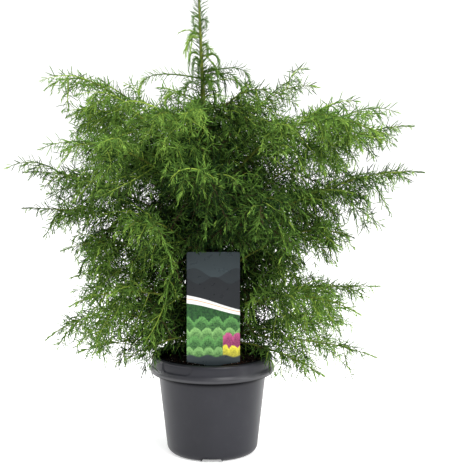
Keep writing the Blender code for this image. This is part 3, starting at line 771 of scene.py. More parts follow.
# How far the plumes of some boughs, by their numbers, settle or spring up: middle, skew and tip.
SETTLED = {
    1: (-0.002, 0.0, -0.010), 4: (0.006, 0.0, 0.014), 5: (0.010, 0.0, 0.014), 6: (0.016, 0.0, 0.0),
    10: (0.004, 0.0, 0.0), 11: (-0.010, 0.0, 0.006), 15: (0.004, 0.0, 0.006), 17: (-0.018, 0.0, -0.006),
    18: (-0.006, 0.0, 0.010), 22: (-0.022, 0.0, -0.010), 24: (-0.020, 0.0, 0.004),
    27: (0.024, 0.008, 0.0), 29: (0.008, 0.0, 0.004), 30: (0.004, -0.026, 0.004),
    32: (-0.012, 0.0, -0.020), 33: (-0.014, 0.0, -0.016), 34: (-0.038, 0.0, 0.0), 36: (-0.026, 0.0, 0.0),
}

# How long the shoots of some boughs are, against the others'.
FULLNESS = {
    1: 0.95, 2: 1.15, 3: 1.15, 4: 0.80, 5: 0.85, 6: 1.15, 9: 1.15, 11: 0.90, 12: 1.10, 14: 1.10,
    21: 1.15, 24: 0.95, 27: 1.10, 29: 1.15, 30: 1.20, 32: 0.80, 34: 0.55, 35: 1.15, 36: 0.45,
}


def plume_path(number, steps):
    """A bough's path with its plume settled a little: beyond the limb it is lowered or raised by
    4 u (1 - u) (middle + skew (1 - 2 u)) + tip u2, where u runs from 0 there to 1 at its tip."""
    path = bough_path(number, steps)
    start = LIMB_SHARE if number < LIMBED else 0.0
    beyond = np.clip((np.linspace(0.0, 1.0, steps + 1) - start) / (1.0 - start), 0.0, 1.0)
    middle, skew, tip = SETTLED.get(number + 1, (0.0, 0.0, 0.0))
    path[:, 2] += 4.0 * beyond * (1.0 - beyond) * (middle + skew * (1.0 - 2.0 * beyond)) + tip * beyond ** 2
    return path


def across_frame(along, level):
    """Two directions across each heading: the one nearest to level, and the one that completes it."""
    first = unit(level - along * np.sum(level * along, axis=-1, keepdims=True))
    return first, np.cross(along, first)


def levels_of(paths):
    """A horizontal direction square to each path's chord."""
    chord = paths[:, -1] - paths[:, 0]
    level = np.stack((chord[:, 1], -chord[:, 0], np.zeros(len(chord))), axis=1)
    flat = np.linalg.norm(level, axis=1) < 1e-4
    level[flat] = (1.0, 0.0, 0.0)
    return unit(level)


def headings_of(paths):
    """Unit tangents by central differences along each path."""
    return unit(np.gradient(paths, axis=1))


def tubes(paths, radii, sides, relief=None, pointed=False):
    """Points and faces of closed tapering tubes, one for each path: a ring of points round every
    sample and a point at each end. A pointed tube has no ring at its last sample. Relief is added to
    the radius, with one value for each point."""
    count, steps = radii.shape
    level, up = across_frame(headings_of(paths), levels_of(paths)[:, None, :])
    turn = np.linspace(0.0, math.tau, sides, endpoint=False)
    spoke = level[:, :, None] * np.cos(turn)[:, None] + up[:, :, None] * np.sin(turn)[:, None]
    reach = radii[:, :, None] if relief is None else radii[:, :, None] + relief
    rings = paths[:, :, None] + spoke * reach[..., None]
    if pointed:
        steps -= 1
        rings = rings[:, :-1]
    points = np.concatenate((rings.reshape(count, -1, 3), paths[:, :1], paths[:, -1:]), axis=1)
    offsets = np.arange(count)[:, None, None] * points.shape[1]
    return points.reshape(-1, 3), (closed_faces(steps, sides)[None] + offsets).reshape(-1, 4)


def bark_finish():
    """Young bark, on a UV map in metres: brown and furrowed lengthways where it is old, smooth and
    green where the attribute youth says that it is young."""
    finish = new_finish("young bark", (0.16, 0.09, 0.05), 0.8, Specular_IOR_Level=0.15)
    wiring = Wiring(finish)
    flat = wiring.uv("surface")
    furrows = wiring.noise(wiring.stretched(flat, (900.0, 110.0, 1.0)), 1.0, 4.0, 0.6)
    patches = wiring.noise(wiring.place(), 90.0, 3.0)
    youth = wiring.add("ShaderNodeAttribute", attribute_name="youth").outputs["Fac"]
    old = wiring.mix(wiring.between(furrows, 0.35, 0.65), (0.045, 0.030, 0.020), (0.150, 0.098, 0.060))
    young = wiring.mix(wiring.between(patches, 0.35, 0.7), (0.085, 0.115, 0.016), (0.190, 0.235, 0.034))
    share = wiring.between(wiring.maths("MULTIPLY_ADD", patches, 0.5, youth), 0.45, 0.95)
    wiring.colour(wiring.mix(share, old, young))
    wiring.roughness(wiring.between(share, 0.0, 1.0, 0.85, 0.60))
    wiring.bump(furrows, 0.0004, 0.7)
    return finish


def add_youth(thing, youth):
    layer = thing.data.attributes.new("youth", "FLOAT", "POINT")
    layer.data.foreach_set("value", np.asarray(youth, np.float32))


def bark_relief(points, depth, seed):
    """Furrows lengthways and low knots: sines of the place, stretched along the height."""
    stretched = points * np.array([1.0, 1.0, 0.22])
    return depth * (0.7 * ripples(stretched, 0.0022, seed) + 0.5 * ripples(points, 0.011, seed + 1))


def make_trunk_bark(finish):
    """The trunk from its flare to the leader's tip, fluted at the foot: the radius grows by a cosine of
    five waves round it, which dies away with the height, and by the bark's relief."""
    heights = TRUNK_FOOT_Z + (TRUNK_TIP_Z - TRUNK_FOOT_Z) * np.linspace(0.0, 1.0, 420) ** 1.2
    path = trunk_points(heights)
    radii = trunk_radii(heights)
    turn = np.linspace(0.0, math.tau, TRUNK_SIDES, endpoint=False)
    spokes = np.stack((np.cos(turn), np.sin(turn), 0.0 * turn), axis=1)
    skin = path[:, None] + spokes * radii[:, None, None]
    fading = 0.10 * np.exp(-(heights - TRUNK_FOOT_Z) / 0.02)
    flutes = fading[:, None] * np.cos(5 * turn + 0.7)[None]
    depth = 0.05 * np.minimum(radii, 0.008)[:, None]
    relief = bark_relief(skin, depth, SEED + 11) + radii[:, None] * flutes
    points, faces = tubes(path[None], radii[None], TRUNK_SIDES, relief[None])
    uvs = np.stack((np.tile(turn * 0.006, len(heights)), np.repeat(heights, TRUNK_SIDES)), axis=1)
    uvs = np.vstack((uvs, [(0.0, heights[0]), (0.0, heights[-1])]))
    trunk = put_mesh("trunk_bark", points, faces, [finish], None, uvs)
    add_youth(trunk, smooth(0.20, 0.40, points[:, 2]))
    return settle(trunk, "bark", "trunk")


def make_bough_bark(finish):
    """All boughs to the tips of their plumes: the radius falls by the 0.6th power of the share of the
    length, with a collar at the foot that dies away."""
    steps = BOUGH_STEPS * 8
    paths = np.array([plume_path(number, steps) for number in range(len(BOUGHS))])
    share = np.linspace(0.0, 1.0, steps + 1)[None]
    girth = bough_girths()[:, None]
    radii = girth * (1.0 - 0.84 * share ** 0.6) + 0.35 * girth * np.exp(-share / 0.02)
    skin = paths[:, :, None] + np.arange(BOUGH_SIDES)[:, None] * 0.0013
    relief = 0.06 * radii[:, :, None] * ripples(skin, 0.004, SEED + 13)
    points, faces = tubes(paths, radii, BOUGH_SIDES, relief)
    lengths = np.linalg.norm(np.diff(paths, axis=1), axis=2).sum(axis=1)
    around = np.tile(np.arange(BOUGH_SIDES) * 0.0015, (len(paths), steps + 1))
    along = np.repeat(share * lengths[:, None], BOUGH_SIDES, axis=1)
    uvs = np.stack((around, along), axis=-1)
    ends = np.stack((np.zeros((len(paths), 2)), np.stack((0 * lengths, lengths), axis=1)), axis=-1)
    uvs = np.concatenate((uvs, ends), axis=1).reshape(-1, 2)
    boughs = put_mesh("bough_bark", points, faces, [finish], None, uvs)
    add_youth(boughs, smooth(0.01, 0.07, np.hypot(points[:, 0], points[:, 1])))
    return settle(boughs, "bark", *[f"bough_{number + 1:02d}" for number in range(LIMBED)])


def make_bark():
    """Two pieces, the trunk and the boughs, in the same bark."""
    finish = bark_finish()
    return make_trunk_bark(finish), make_bough_bark(finish)


# Foliage: the frame's twigs by the same rule, then finer shoots and needles on them

TWIG_RADIUS = 0.0024
TWIG_ANGLE = math.radians(50)
FRAME_TWIG_SPACING = 0.054
TWIG_SHARE = 0.62
TWIG_SHORTEST = 0.034
TWIG_CUTS = (1.0, 0.84, 0.7, 0.58, 0.46, 0.36)
TWIG_DROOP = 0.16
TWIG_STEEPEST = 0.30
TWIG_GIRTH = 0.0011
CLEARANCE = 0.002
GAP = 0.0003

# The trunk's stretch that carries shoots, the girth that theirs are taken from, and the first of the
# boughs that are short hooked shoots.
INNER_FOOT = 0.185
INNER_TOP = 0.520
INNER_GIRTH = 0.0016
HOOKED = 36

# The foot of the crown: fillers, laterals and sprigs end above it, and over the front of the soil they
# keep out of an opening of this height and reach, in front of this Y.
LOWEST = 0.124
OPENING = 0.166
OPENING_REACH = 0.100
OPENING_Y = -0.02

# Shoots: the share of a path where the last one stands, how they bend back along their parent, how
# steeply they may rise, and how far they get shorter or fewer at the top, the ends and the foot.
LAST_SHOOT = 0.985
BEND = 0.22
STEEPEST = 0.70
LEVELLED = 0.62
SLENDER = 0.62
THIN_END = 0.38
THIN_FOOT = 0.22
OPEN_FOOT = 0.26

# New growth: the share that makes a shoot new all along, the shares of tassels and of shoots that end
# in a finger, a finger's length, and the soft share at the end of any other shoot.
NEW_GROWTH = 1.3
TASSELS = 0.06
FINGERS = 0.30
FINGER_LENGTH = 0.020
SOFT_END = 0.08


def distances(points, paths):
    """Shortest distance from each point to each path's broken line, in slices to save memory."""
    starts, spans = paths[:, :-1].reshape(-1, 3), np.diff(paths, axis=1).reshape(-1, 3)
    squares = np.sum(spans * spans, axis=1)
    found = []
    for first in range(0, len(points), 4000):
        offsets = points[first:first + 4000, None] - starts[None]
        share = np.clip(np.sum(offsets * spans, axis=2) / squares, 0.0, 1.0)
        gaps = np.linalg.norm(offsets - share[..., None] * spans, axis=2)
        found.append(gaps.reshape(len(gaps), len(paths), -1).min(axis=2))
    return np.concatenate(found)


def own_and_other(points, owner, paths):
    """Distance from each point to its own bough, and to the nearest other one."""
    gaps = distances(points, paths)
    rows = np.arange(len(points))
    own = gaps[rows, owner].copy()
    gaps[rows, owner] = np.inf
    return own, gaps.min(axis=1)


def clear_of_pot(points, margin):
    """True for each point that is clear of the soil, the lip and the collar."""
    around = np.hypot(points[..., 0], points[..., 1])
    over_soil = points[..., 2] > SOIL_TOP_Z + margin
    over_lip = points[..., 2] > 0.153 + margin
    return (around > 0.095 + margin) | over_lip | ((around < LIP_RADIUS - margin) & over_soil)


def clear_of_card(points, margin):
    """True for each point that is neither in the card nor before its face."""
    back = CARD_Y + (points[..., 2] - CARD_SHOULDER_Z) * math.tan(CARD_LEAN) + margin
    beside = np.abs(points[..., 0] - CARD_X) > 0.0395 + margin
    return beside | (points[..., 2] > CARD_TOP_Z + margin) | (points[..., 1] > back)


def point_on(path, share):
    place = share * (len(path) - 1)
    step = min(int(place), len(path) - 2)
    along = path[step + 1] - path[step]
    return path[step] + along * (place - step), along / np.linalg.norm(along)


def frame_twigs(number, paths, trunk):
    """The frame's own twigs of one mass: they leave its stem to each side in turn, arch and droop,
    and are shortened until they keep to the mass's space."""
    path = paths[number]
    share = LIMB_SHARE if number < LIMBED else 0.0
    start, along = point_on(path, share)
    later = [step for step in range(2, len(path), 2) if step > share * (len(path) - 1) + 0.3]
    stem = np.array([start + along * GAP] + [path[step] for step in later])
    length = np.linalg.norm(np.diff(stem, axis=0), axis=1).sum()
    chance = random.Random(SEED * 31 + number)
    twigs = []
    count = max(2, round(length / FRAME_TWIG_SPACING))
    for order in range(count):
        share = 0.08 + 0.76 * (order + chance.uniform(0.1, 0.5)) / count
        root, along = point_on(stem, share)
        level = unit(np.cross(along, (0.0, 0.0, 1.0)))
        turn = (-1) ** order * math.radians(90 + chance.uniform(-38, 30))
        across = level * math.sin(turn) + np.cross(level, along) * math.cos(turn)
        lead = along * math.cos(TWIG_ANGLE) + across * math.sin(TWIG_ANGLE)
        lead[2] = min(lead[2], TWIG_STEEPEST)
        lead = unit(lead)
        full = max(TWIG_SHORTEST, TWIG_SHARE * length * (1.12 - 0.82 * share))
        for cut in TWIG_CUTS:
            size = full * cut
            if size < 0.7 * TWIG_SHORTEST:
                break
            sag = np.array([0.0, 0.0, -TWIG_DROOP * size])
            twig = np.array([root, root + lead * size * 0.5 - sag * 0.15,
                             root + (lead * 0.8 + along * 0.2) * size + sag])
            checks = np.array([point_on(twig, part)[0] for part in np.linspace(0.25, 1.0, 7)])
            own, other = own_and_other(checks, np.full(7, number), paths)
            free = other - own >= 2 * TWIG_RADIUS + CLEARANCE
            free &= other >= BOUGH_FOOT_RADIUS + TWIG_RADIUS + CLEARANCE
            free &= distances(checks, trunk[None])[:, 0] >= TRUNK_FOOT_RADIUS + TWIG_RADIUS + CLEARANCE
            free &= clear_of_pot(checks, TWIG_RADIUS + CLEARANCE)
            free &= clear_of_card(checks, TWIG_RADIUS + 2 * CLEARANCE)
            if free.all():
                twigs.append(twig)
                break
    return twigs


class Shoots:
    """Shoots of one order: their sampled paths, the bough that each belongs to, their girth, and the
    share of each that is this year's soft growth."""

    def __init__(self, paths, owner, girth, soft):
        self.paths = paths
        self.owner = owner
        self.girth = girth
        self.soft = np.broadcast_to(soft, len(paths))
        self.levels = levels_of(paths)
        self.lengths = np.linalg.norm(np.diff(paths, axis=1), axis=2).sum(axis=1)

    def at(self, which, share):
        """Point and heading at a share of each chosen path."""
        place = share * (self.paths.shape[1] - 1)
        step = np.minimum(place.astype(int), self.paths.shape[1] - 2)
        start = self.paths[which, step]
        along = self.paths[which, step + 1] - start
        return start + along * (place - step)[:, None], unit(along)

    def keep(self, chosen, paths=None):
        """The chosen shoots, with paths of their own or new ones."""
        paths = self.paths[chosen] if paths is None else paths
        return Shoots(paths, self.owner[chosen], self.girth[chosen], self.soft[chosen])


def join_shoots(*batches):
    """Several batches made one, all sampled alike."""
    samples = max(batch.paths.shape[1] for batch in batches)
    paths = [resampled(batch.paths, np.ones(len(batch.paths)), samples) for batch in batches]
    return Shoots(np.concatenate(paths), np.concatenate([batch.owner for batch in batches]),
                  np.concatenate([batch.girth for batch in batches]),
                  np.concatenate([batch.soft for batch in batches]))


def resampled(paths, cut, samples):
    """Each path up to a share of it, at equal steps between its own samples."""
    place = np.linspace(0.0, 1.0, samples)[None] * cut[:, None] * (paths.shape[1] - 1)
    step = np.minimum(place.astype(int), paths.shape[1] - 2)
    rows = np.arange(len(paths))[:, None]
    start = paths[rows, step]
    return start + (paths[rows, step + 1] - start) * (place - step)[..., None]


def inside_crown(shoots, boughs, overlap, short):
    """Cut each shoot where it would leave its mass's space by more than the overlap, come within short
    of its bough's reach, touch the pot or card, hang too low, enter the opening over the front of the
    soil, or pass out of the frame's box; a shoot that loses six tenths or more is dropped."""
    paths = shoots.paths
    count, samples = paths.shape[:2]
    points = paths.reshape(-1, 3)
    own, other = own_and_other(points, np.repeat(shoots.owner, samples), boughs)
    low, high = (np.array(corner) for corner in CAD_BOX)
    free = (other - own > -overlap) & clear_of_pot(points, 0.003) & clear_of_card(points, 0.004)
    free &= np.all((points > low + 0.003) & (points < high - 0.003), axis=1) & (points[:, 2] > LOWEST)
    reach = np.hypot(boughs[:, -1, 0], boughs[:, -1, 1])[shoots.owner]
    around = np.hypot(points[:, 0], points[:, 1])
    free &= around < np.repeat(reach, samples) - short
    free &= (around > OPENING_REACH) | (points[:, 2] > OPENING) | (points[:, 1] > OPENING_Y)
    free = free.reshape(count, samples)
    free[:, 0] = True
    reach = np.where(free.all(axis=1), samples - 1, np.argmin(free, axis=1) - 1)
    cut = reach / (samples - 1)
    chosen = cut > 0.4
    return shoots.keep(chosen, resampled(paths[chosen], cut[chosen], samples))


def side_shoots(parents, chance, spacing, first, sizes, angle, droop, samples, upright=0.85,
                slender=SLENDER):
    """Shoots that leave each parent at equal steps, turning round it by the golden angle.

    A shoot's path is root + size (lead t + (along - lead) t2 bend), drawn down by droop (t2 + 0.6 t4);
    sizes gives its length from the parent's length and the share along it, and upright weighs the
    headings up and down against those to the sides. Shoots on new growth are new all along, and so are
    the tassels, a few that hang far down. Others end in a hanging finger of new growth. Shoots are
    shorter at the top of the crown, at its foot and out along the plumes, fewer at its foot, and
    longer or shorter on some boughs.
    """
    spans = parents.lengths * (1.0 - first)
    counts = np.maximum(1, np.round(spans / spacing).astype(int))
    which = np.repeat(np.arange(len(counts)), counts)
    order = np.arange(len(which)) - np.repeat(np.cumsum(counts) - counts, counts)
    share = first + (LAST_SHOOT - first) * (order + chance.uniform(0.25, 0.75, len(which))) / counts[which]
    root, along = parents.at(which, share)
    level, up = across_frame(along, parents.levels[which])
    turn = order * GOLDEN_ANGLE + chance.uniform(-0.5, 0.5, len(which)) + which * 2.4
    across = level * np.cos(turn)[:, None] + upright * up * np.sin(turn)[:, None]
    spread = angle * chance.uniform(0.75, 1.2, len(which))
    lead = unit(along * np.cos(spread)[:, None] + unit(across) * np.sin(spread)[:, None])
    around = np.hypot(root[:, 0], root[:, 1])
    steepest = STEEPEST - LEVELLED * np.maximum(smooth(0.10, 0.22, around), smooth(0.48, 0.54, root[:, 2]))
    lead[:, 2] = np.minimum(lead[:, 2], steepest)
    size = sizes(parents.lengths[which], share) * chance.uniform(0.6, 1.2, len(which))
    size *= 1.0 - slender * smooth(0.50, 0.57, root[:, 2]) * smooth(-0.75, -0.25, lead[:, 2])
    size *= 1.0 - THIN_END * smooth(0.17, 0.27, around)
    fullness = np.array([FULLNESS.get(number + 1, 1.0) for number in range(len(BOUGHS))])
    size *= fullness[parents.owner[which]]
    size *= 1.0 - THIN_FOOT * smooth(0.20, 0.16, root[:, 2])
    open_foot = OPEN_FOOT * smooth(0.32, 0.22, root[:, 2]) * smooth(0.05, 0.12, around)
    stays = chance.uniform(size=len(which)) > open_foot
    part = np.linspace(0.0, 1.0, samples)[None, :, None]
    tassel = chance.uniform(size=len(which)) < TASSELS
    new = tassel | (share > 1.0 - parents.soft[which])
    finger = chance.uniform(size=len(which)) < FINGERS
    finger_share = np.minimum(FINGER_LENGTH * chance.uniform(0.6, 1.3, len(which)) / size, 0.8)
    soft = np.where(new, NEW_GROWTH, np.where(finger, finger_share, SOFT_END))
    weight = np.where(tassel, 2.6, np.where(finger, 1.7, 1.0)) * chance.uniform(0.6, 1.4, len(which))
    path = lead[:, None] * part + (along - lead)[:, None] * BEND * part ** 2
    path[..., 2] -= (weight[:, None] * droop) * (part ** 2 + 0.6 * part ** 4)[..., 0]
    path = root[:, None] + path * size[:, None, None]
    girth = np.minimum(parents.girth[which] * 0.7, 0.00035 + 0.010 * size)
    return Shoots(path, parents.owner[which], girth, soft).keep(stays)


CLOSE_SET = 1.8
NEEDLE_BASE = 0.12
NEEDLE_SHOULDER = 0.72
NEEDLE_SPREAD = 67.0
NEEDLE_FACES = np.array([(0, 1, 2), (1, 3, 4), (1, 4, 2), (3, 5, 4),
                         (0, 3, 1), (0, 5, 3), (0, 2, 4), (0, 4, 5)])


def needle_mesh(root, lead, along, size, width, bend):
    """Six points of each keeled awl, along a curve root + size (lead s + inner bend s2) that bends
    towards the twig's tip: the root sunk in its twig, two corners near its base, two at its shoulder
    and its point. The straight line from root to point is the keel, and eight triangles close it."""
    side = unit(np.cross(along, lead))
    inner = np.cross(lead, side)
    points = [root]
    for share, part in ((NEEDLE_BASE, 0.50), (NEEDLE_SHOULDER, 0.40)):
        middle = root + (lead * share + inner * (bend * share ** 2)[:, None]) * size[:, None]
        middle -= inner * (0.30 * width)[:, None]
        half = side * (part * width)[:, None]
        points += [middle + half, middle - half]
    points.append(root + (lead + inner * bend[:, None]) * size[:, None])
    return np.stack(points, axis=1)


def needles_on(shoots, chance, settings, first, length, density, wide, young):
    """Needles round each shoot by the golden angle: long and spreading where it is grown, and along its
    new growth more of them, of the young share of that length, and close to it. The number of needles
    up to a place is the length of grown shoot below it, plus CLOSE_SET times that of new growth, over
    the needle spacing."""
    soft = np.minimum(shoots.soft, 1.0 - first)
    hard = 1.0 - first - soft
    counts = shoots.lengths * (hard + CLOSE_SET * soft) * density / settings.needle_step
    counts = np.maximum(3, np.round(counts).astype(int))
    which = np.repeat(np.arange(len(counts)), counts)
    order = np.arange(len(which)) - np.repeat(np.cumsum(counts) - counts, counts)
    part = (order + 0.7) / counts[which] * (hard + CLOSE_SET * soft)[which]
    share = first + np.where(part < hard[which], part, hard[which] + (part - hard[which]) / CLOSE_SET)
    root, along = shoots.at(which, np.minimum(share, 0.995))
    level, up = across_frame(along, shoots.levels[which])
    turn = order * GOLDEN_ANGLE + which * 1.7 + chance.uniform(-0.3, 0.3, len(which))
    across = level * np.cos(turn)[:, None] + up * np.sin(turn)[:, None]
    from_tip = (1.0 - share) * shoots.lengths[which]
    zone = (shoots.soft * shoots.lengths)[which]
    grown = smooth(0.6 * zone, 1.15 * zone + 0.003, from_tip)
    spread = NEEDLE_SPREAD * (0.7 * young + (1.0 - 0.7 * young) * grown)
    spread = np.radians(spread + chance.uniform(-10, 10, len(which)))
    lead = along * np.cos(spread)[:, None] + across * np.sin(spread)[:, None]
    size = length * settings.needle_length * (young + (1.0 - young) * grown)
    size *= chance.uniform(0.75, 1.15, len(which))
    size *= 0.6 + 0.4 * smooth(0.0, 0.010, from_tip)
    width = wide * settings.needle_width * (0.85 + 0.15 * grown)
    points = needle_mesh(root, lead, along, size, width, 0.06 + 0.12 * chance.random(len(root)))
    low, high = (np.array(corner) for corner in CAD_BOX)
    free = clear_of_card(points, 0.001).all(axis=1) & clear_of_pot(points[:, -1], 0.0005)
    free &= np.all((points[:, -1] > low - 0.008) & (points[:, -1] < high + 0.008), axis=1)
    return points[free], which[free], grown[free]


TINTS = 7
NEEDLE_TIERS = 6

# Painted light on a spray, which picks the tints of its needles and twigs: inside the crown, and how much
# more it gets at the outside, near the top and low at the outside, less in a hollow at the front, where
# painted shade darkens it, and by chance more or less.
LIGHT_INSIDE = 0.06
LIGHT_OUTSIDE = 0.48
LIGHT_TOP = 0.24
LIGHT_LOW = 0.22
LIGHT_CHANCE = 0.48
HOLLOW = (0.030, -0.17, 0.380)
HOLLOW_SIZE = (0.10, 0.17, 0.09)
HOLLOW_SHADE = 0.26


def light_of(points, chance):
    """How much painted light a spray gets, from 0 to 1: the sum of the parts named above, each with a
    smooth step of the place, where the crown's radius shrinks towards the top."""
    around = np.hypot(points[:, 0], points[:, 1])
    crown = 0.30 - 0.24 * smooth(0.40, 0.62, points[:, 2])
    light = LIGHT_INSIDE + LIGHT_OUTSIDE * smooth(0.20, 0.70, around / crown)
    light += LIGHT_TOP * smooth(0.40, 0.52, points[:, 2])
    light += LIGHT_LOW * smooth(0.36, 0.20, points[:, 2]) * smooth(0.08, 0.16, around)
    hollow = np.linalg.norm((points - HOLLOW) / HOLLOW_SIZE, axis=1)
    light -= HOLLOW_SHADE * smooth(1.3, 0.5, hollow)
    return np.clip(light + chance.uniform(-LIGHT_CHANCE, LIGHT_CHANCE, len(points)), 0.0, 1.0)


def twigs_of_frame(coarse, fine, trunk):
    """The frame's twigs as smooth arcs, moved with the settled plumes that carry them: the root by the
    whole shift at its place, the middle by 0.6 and the end by 0.3 of it."""
    arcs, owners = [], []
    part = np.linspace(0.0, 1.0, 17)[:, None]
    for number in range(len(BOUGHS)):
        for start, middle, end in frame_twigs(number, coarse, trunk):
            foot = fine[number][np.argmin(np.linalg.norm(fine[number] - start, axis=1))]
            middle = middle + 0.6 * (foot - start)
            end = end + 0.3 * (foot - start)
            control = 2 * middle - 0.5 * (foot + end)
            arcs.append(foot * (1 - part) ** 2 + 2 * control * part * (1 - part) + end * part ** 2)
            owners.append(number)
    owners = np.array(owners)
    soft = np.where(owners < HOOKED, 0.12, NEW_GROWTH)
    return Shoots(np.array(arcs), owners, np.full(len(arcs), TWIG_GIRTH), soft)


def make_foliage(settings):
    """Twigs and needles of all masses, in pieces by tier, each under 200,000 triangles. The twigs are
    the frame's own, with fillers that grow on the trunk and the plumes; laterals grow on plumes and
    twigs, and sprigs on the laterals."""
    chance = np.random.default_rng(SEED)
    coarse = np.array([bough_path(number, BOUGH_STEPS) for number in range(len(BOUGHS))])
    settled = np.array([plume_path(number, BOUGH_STEPS) for number in range(len(BOUGHS))])
    fine = np.array([plume_path(number, BOUGH_STEPS * FINE) for number in range(len(BOUGHS))])
    trunk = trunk_points(np.linspace(TRUNK_FOOT_Z, TRUNK_TIP_Z, 24))
    numbers = np.arange(len(BOUGHS))
    stems = Shoots(fine, numbers, 0.6 * bough_girths(), np.where(numbers < HOOKED, 0.10, NEW_GROWTH))
    inner = trunk_points(np.linspace(INNER_FOOT, INNER_TOP, 33))[None]
    core = Shoots(inner, np.zeros(1, int), np.array([INNER_GIRTH]), np.zeros(1))
    step = settings.twig_step

    on_trunk = side_shoots(core, chance, 0.44 * step, 0.0, lambda length, share: 0.120 + 0.035 * share,
                           angle=math.radians(66), droop=0.20, samples=17, slender=0.0)
    on_trunk.owner[:] = distances(on_trunk.paths[:, 8], settled).argmin(axis=1)
    fillers = side_shoots(stems, chance, 2.1 * step, 0.06,
                          lambda length, share: np.minimum(0.110, 0.5 * length) * (1.0 - share) ** 0.55,
                          angle=math.radians(60), droop=0.17, samples=17, upright=1.4)
    between = side_shoots(stems, chance, 5.0 * step, 0.12,
                          lambda length, share: np.minimum(0.150, 0.6 * length) * (1.0 - share) ** 0.30,
                          angle=math.radians(74), droop=0.10, samples=17, upright=2.2)
    fillers = inside_crown(join_shoots(on_trunk, fillers, between), settled, 0.035, 0.030)
    twigs = join_shoots(twigs_of_frame(coarse, fine, trunk), fillers)

    on_stems = side_shoots(stems.keep(numbers < HOOKED), chance, 1.5 * step, 0.10,
                           lambda length, share: np.minimum(0.058, 0.4 * length) * (1.0 - share) ** 0.45,
                           angle=math.radians(54), droop=0.22, samples=13)
    on_twigs = side_shoots(twigs.keep(twigs.owner < HOOKED), chance, 1.6 * step, 0.06,
                           lambda length, share: np.clip(0.80 * length * (1.03 - share), 0.012, 0.066),
                           angle=math.radians(52), droop=0.22, samples=13)
    laterals = inside_crown(join_shoots(on_stems, on_twigs), settled, 0.038, 0.004)
    sprigs = side_shoots(laterals.keep(laterals.lengths > 0.026), chance, 2.3 * step, 0.14,
                         lambda length, share: np.clip(0.50 * length * (1.08 - share), 0.008, 0.026),
                         angle=math.radians(50), droop=0.22, samples=7)
    sprigs = inside_crown(sprigs, settled, 0.042, -0.004)

    leader = leader_shoots()
    batches = (stems, twigs, laterals, sprigs, leader.keep(slice(0, -1)), leader.keep(slice(-1, None)))
    needles = grow_needles(batches, settings, chance)
    return needles + grow_twigs(join_shoots(twigs, leader), laterals, sprigs, chance)


# Needles on plumes, twigs, laterals, sprigs, the leader's hooked shoots and the leader: where on the
# shoot they start, their length, number, width, the length of the youngest, and the least painted light.
NEEDLES = (
    (0.06, 1.0, 1.3, 1.00, 0.42, 0.00), (0.05, 1.0, 1.0, 1.00, 0.42, 0.00),
    (0.04, 1.0, 1.0, 1.00, 0.42, 0.00), (0.04, 0.9, 1.0, 1.00, 0.42, 0.00),
    (0.00, 0.8, 2.6, 0.90, 0.60, 0.42), (0.00, 1.0, 5.0, 0.95, 0.60, 0.40),
)


def needle_finishes(settings):
    """The tints of the needles, from shaded over grown to fresh: the darker ones are painted shade."""
    mixes = [(settings.shaded, settings.grown, share) for share in (0.0, 0.35, 0.7, 1.0)]
    mixes += [(settings.grown, settings.fresh, share) for share in (0.35, 0.7, 1.0)]
    finishes = []
    for number, (dark, light, share) in enumerate(mixes):
        tint = [first + (second - first) * share for first, second in zip(dark, light)]
        finishes.append(new_finish(f"needles tint {number + 1}", tint, 0.60, Specular_IOR_Level=0.06))
    return finishes


def grow_needles(batches, settings, chance):
    """Needles of every batch of shoots, tinted darker or lighter by the painted light on their spray,
    dealt out by tier and joined."""
    parts, owners, kinds = [], [], []
    for shoots, (first, length, density, wide, young, least) in zip(batches, NEEDLES):
        points, which, grown = needles_on(shoots, chance, settings, first, length, density, wide, young)
        # Painted light and shade: the light on a spray picks darker or lighter tints for its needles.
        light = np.maximum(light_of(shoots.paths[:, -1], chance), least)
        bright = chance.uniform(0.2, 3.2, len(light)) * smooth(0.15, 0.6, light)
        tint = 3.3 * light[which] + (1.0 - grown) * bright[which] + chance.uniform(-0.8, 0.8, len(which))
        parts.append(points)
        owners.append(shoots.owner[which])
        kinds.append(np.clip(np.round(tint).astype(int), 0, TINTS - 1))
    points, owners, kinds = np.concatenate(parts), np.concatenate(owners), np.concatenate(kinds)
    tiers = tiers_of(owners)
    finishes = needle_finishes(settings)
    made = []
    for tier in range(NEEDLE_TIERS):
        chosen = tiers[owners] == tier
        faces = (NEEDLE_FACES[None] + 6 * np.arange(chosen.sum())[:, None, None]).reshape(-1, 3)
        piece = put_mesh(f"needles_tier_{tier + 1}", points[chosen].reshape(-1, 3), faces, finishes,
                         np.repeat(kinds[chosen], len(NEEDLE_FACES)))
        nodes = [f"foliage_{number + 1:02d}" for number in range(len(BOUGHS)) if tiers[number] == tier]
        made.append(settle(piece, "needles", *nodes))
    return made


def tiers_of(owners):
    """Tier of each bough, from the lowest to the highest, with like numbers of needles."""
    counts = np.bincount(owners, minlength=len(BOUGHS))
    middle = np.cumsum(counts) - 0.5 * counts
    return np.minimum((NEEDLE_TIERS * middle / counts.sum()).astype(int), NEEDLE_TIERS - 1)


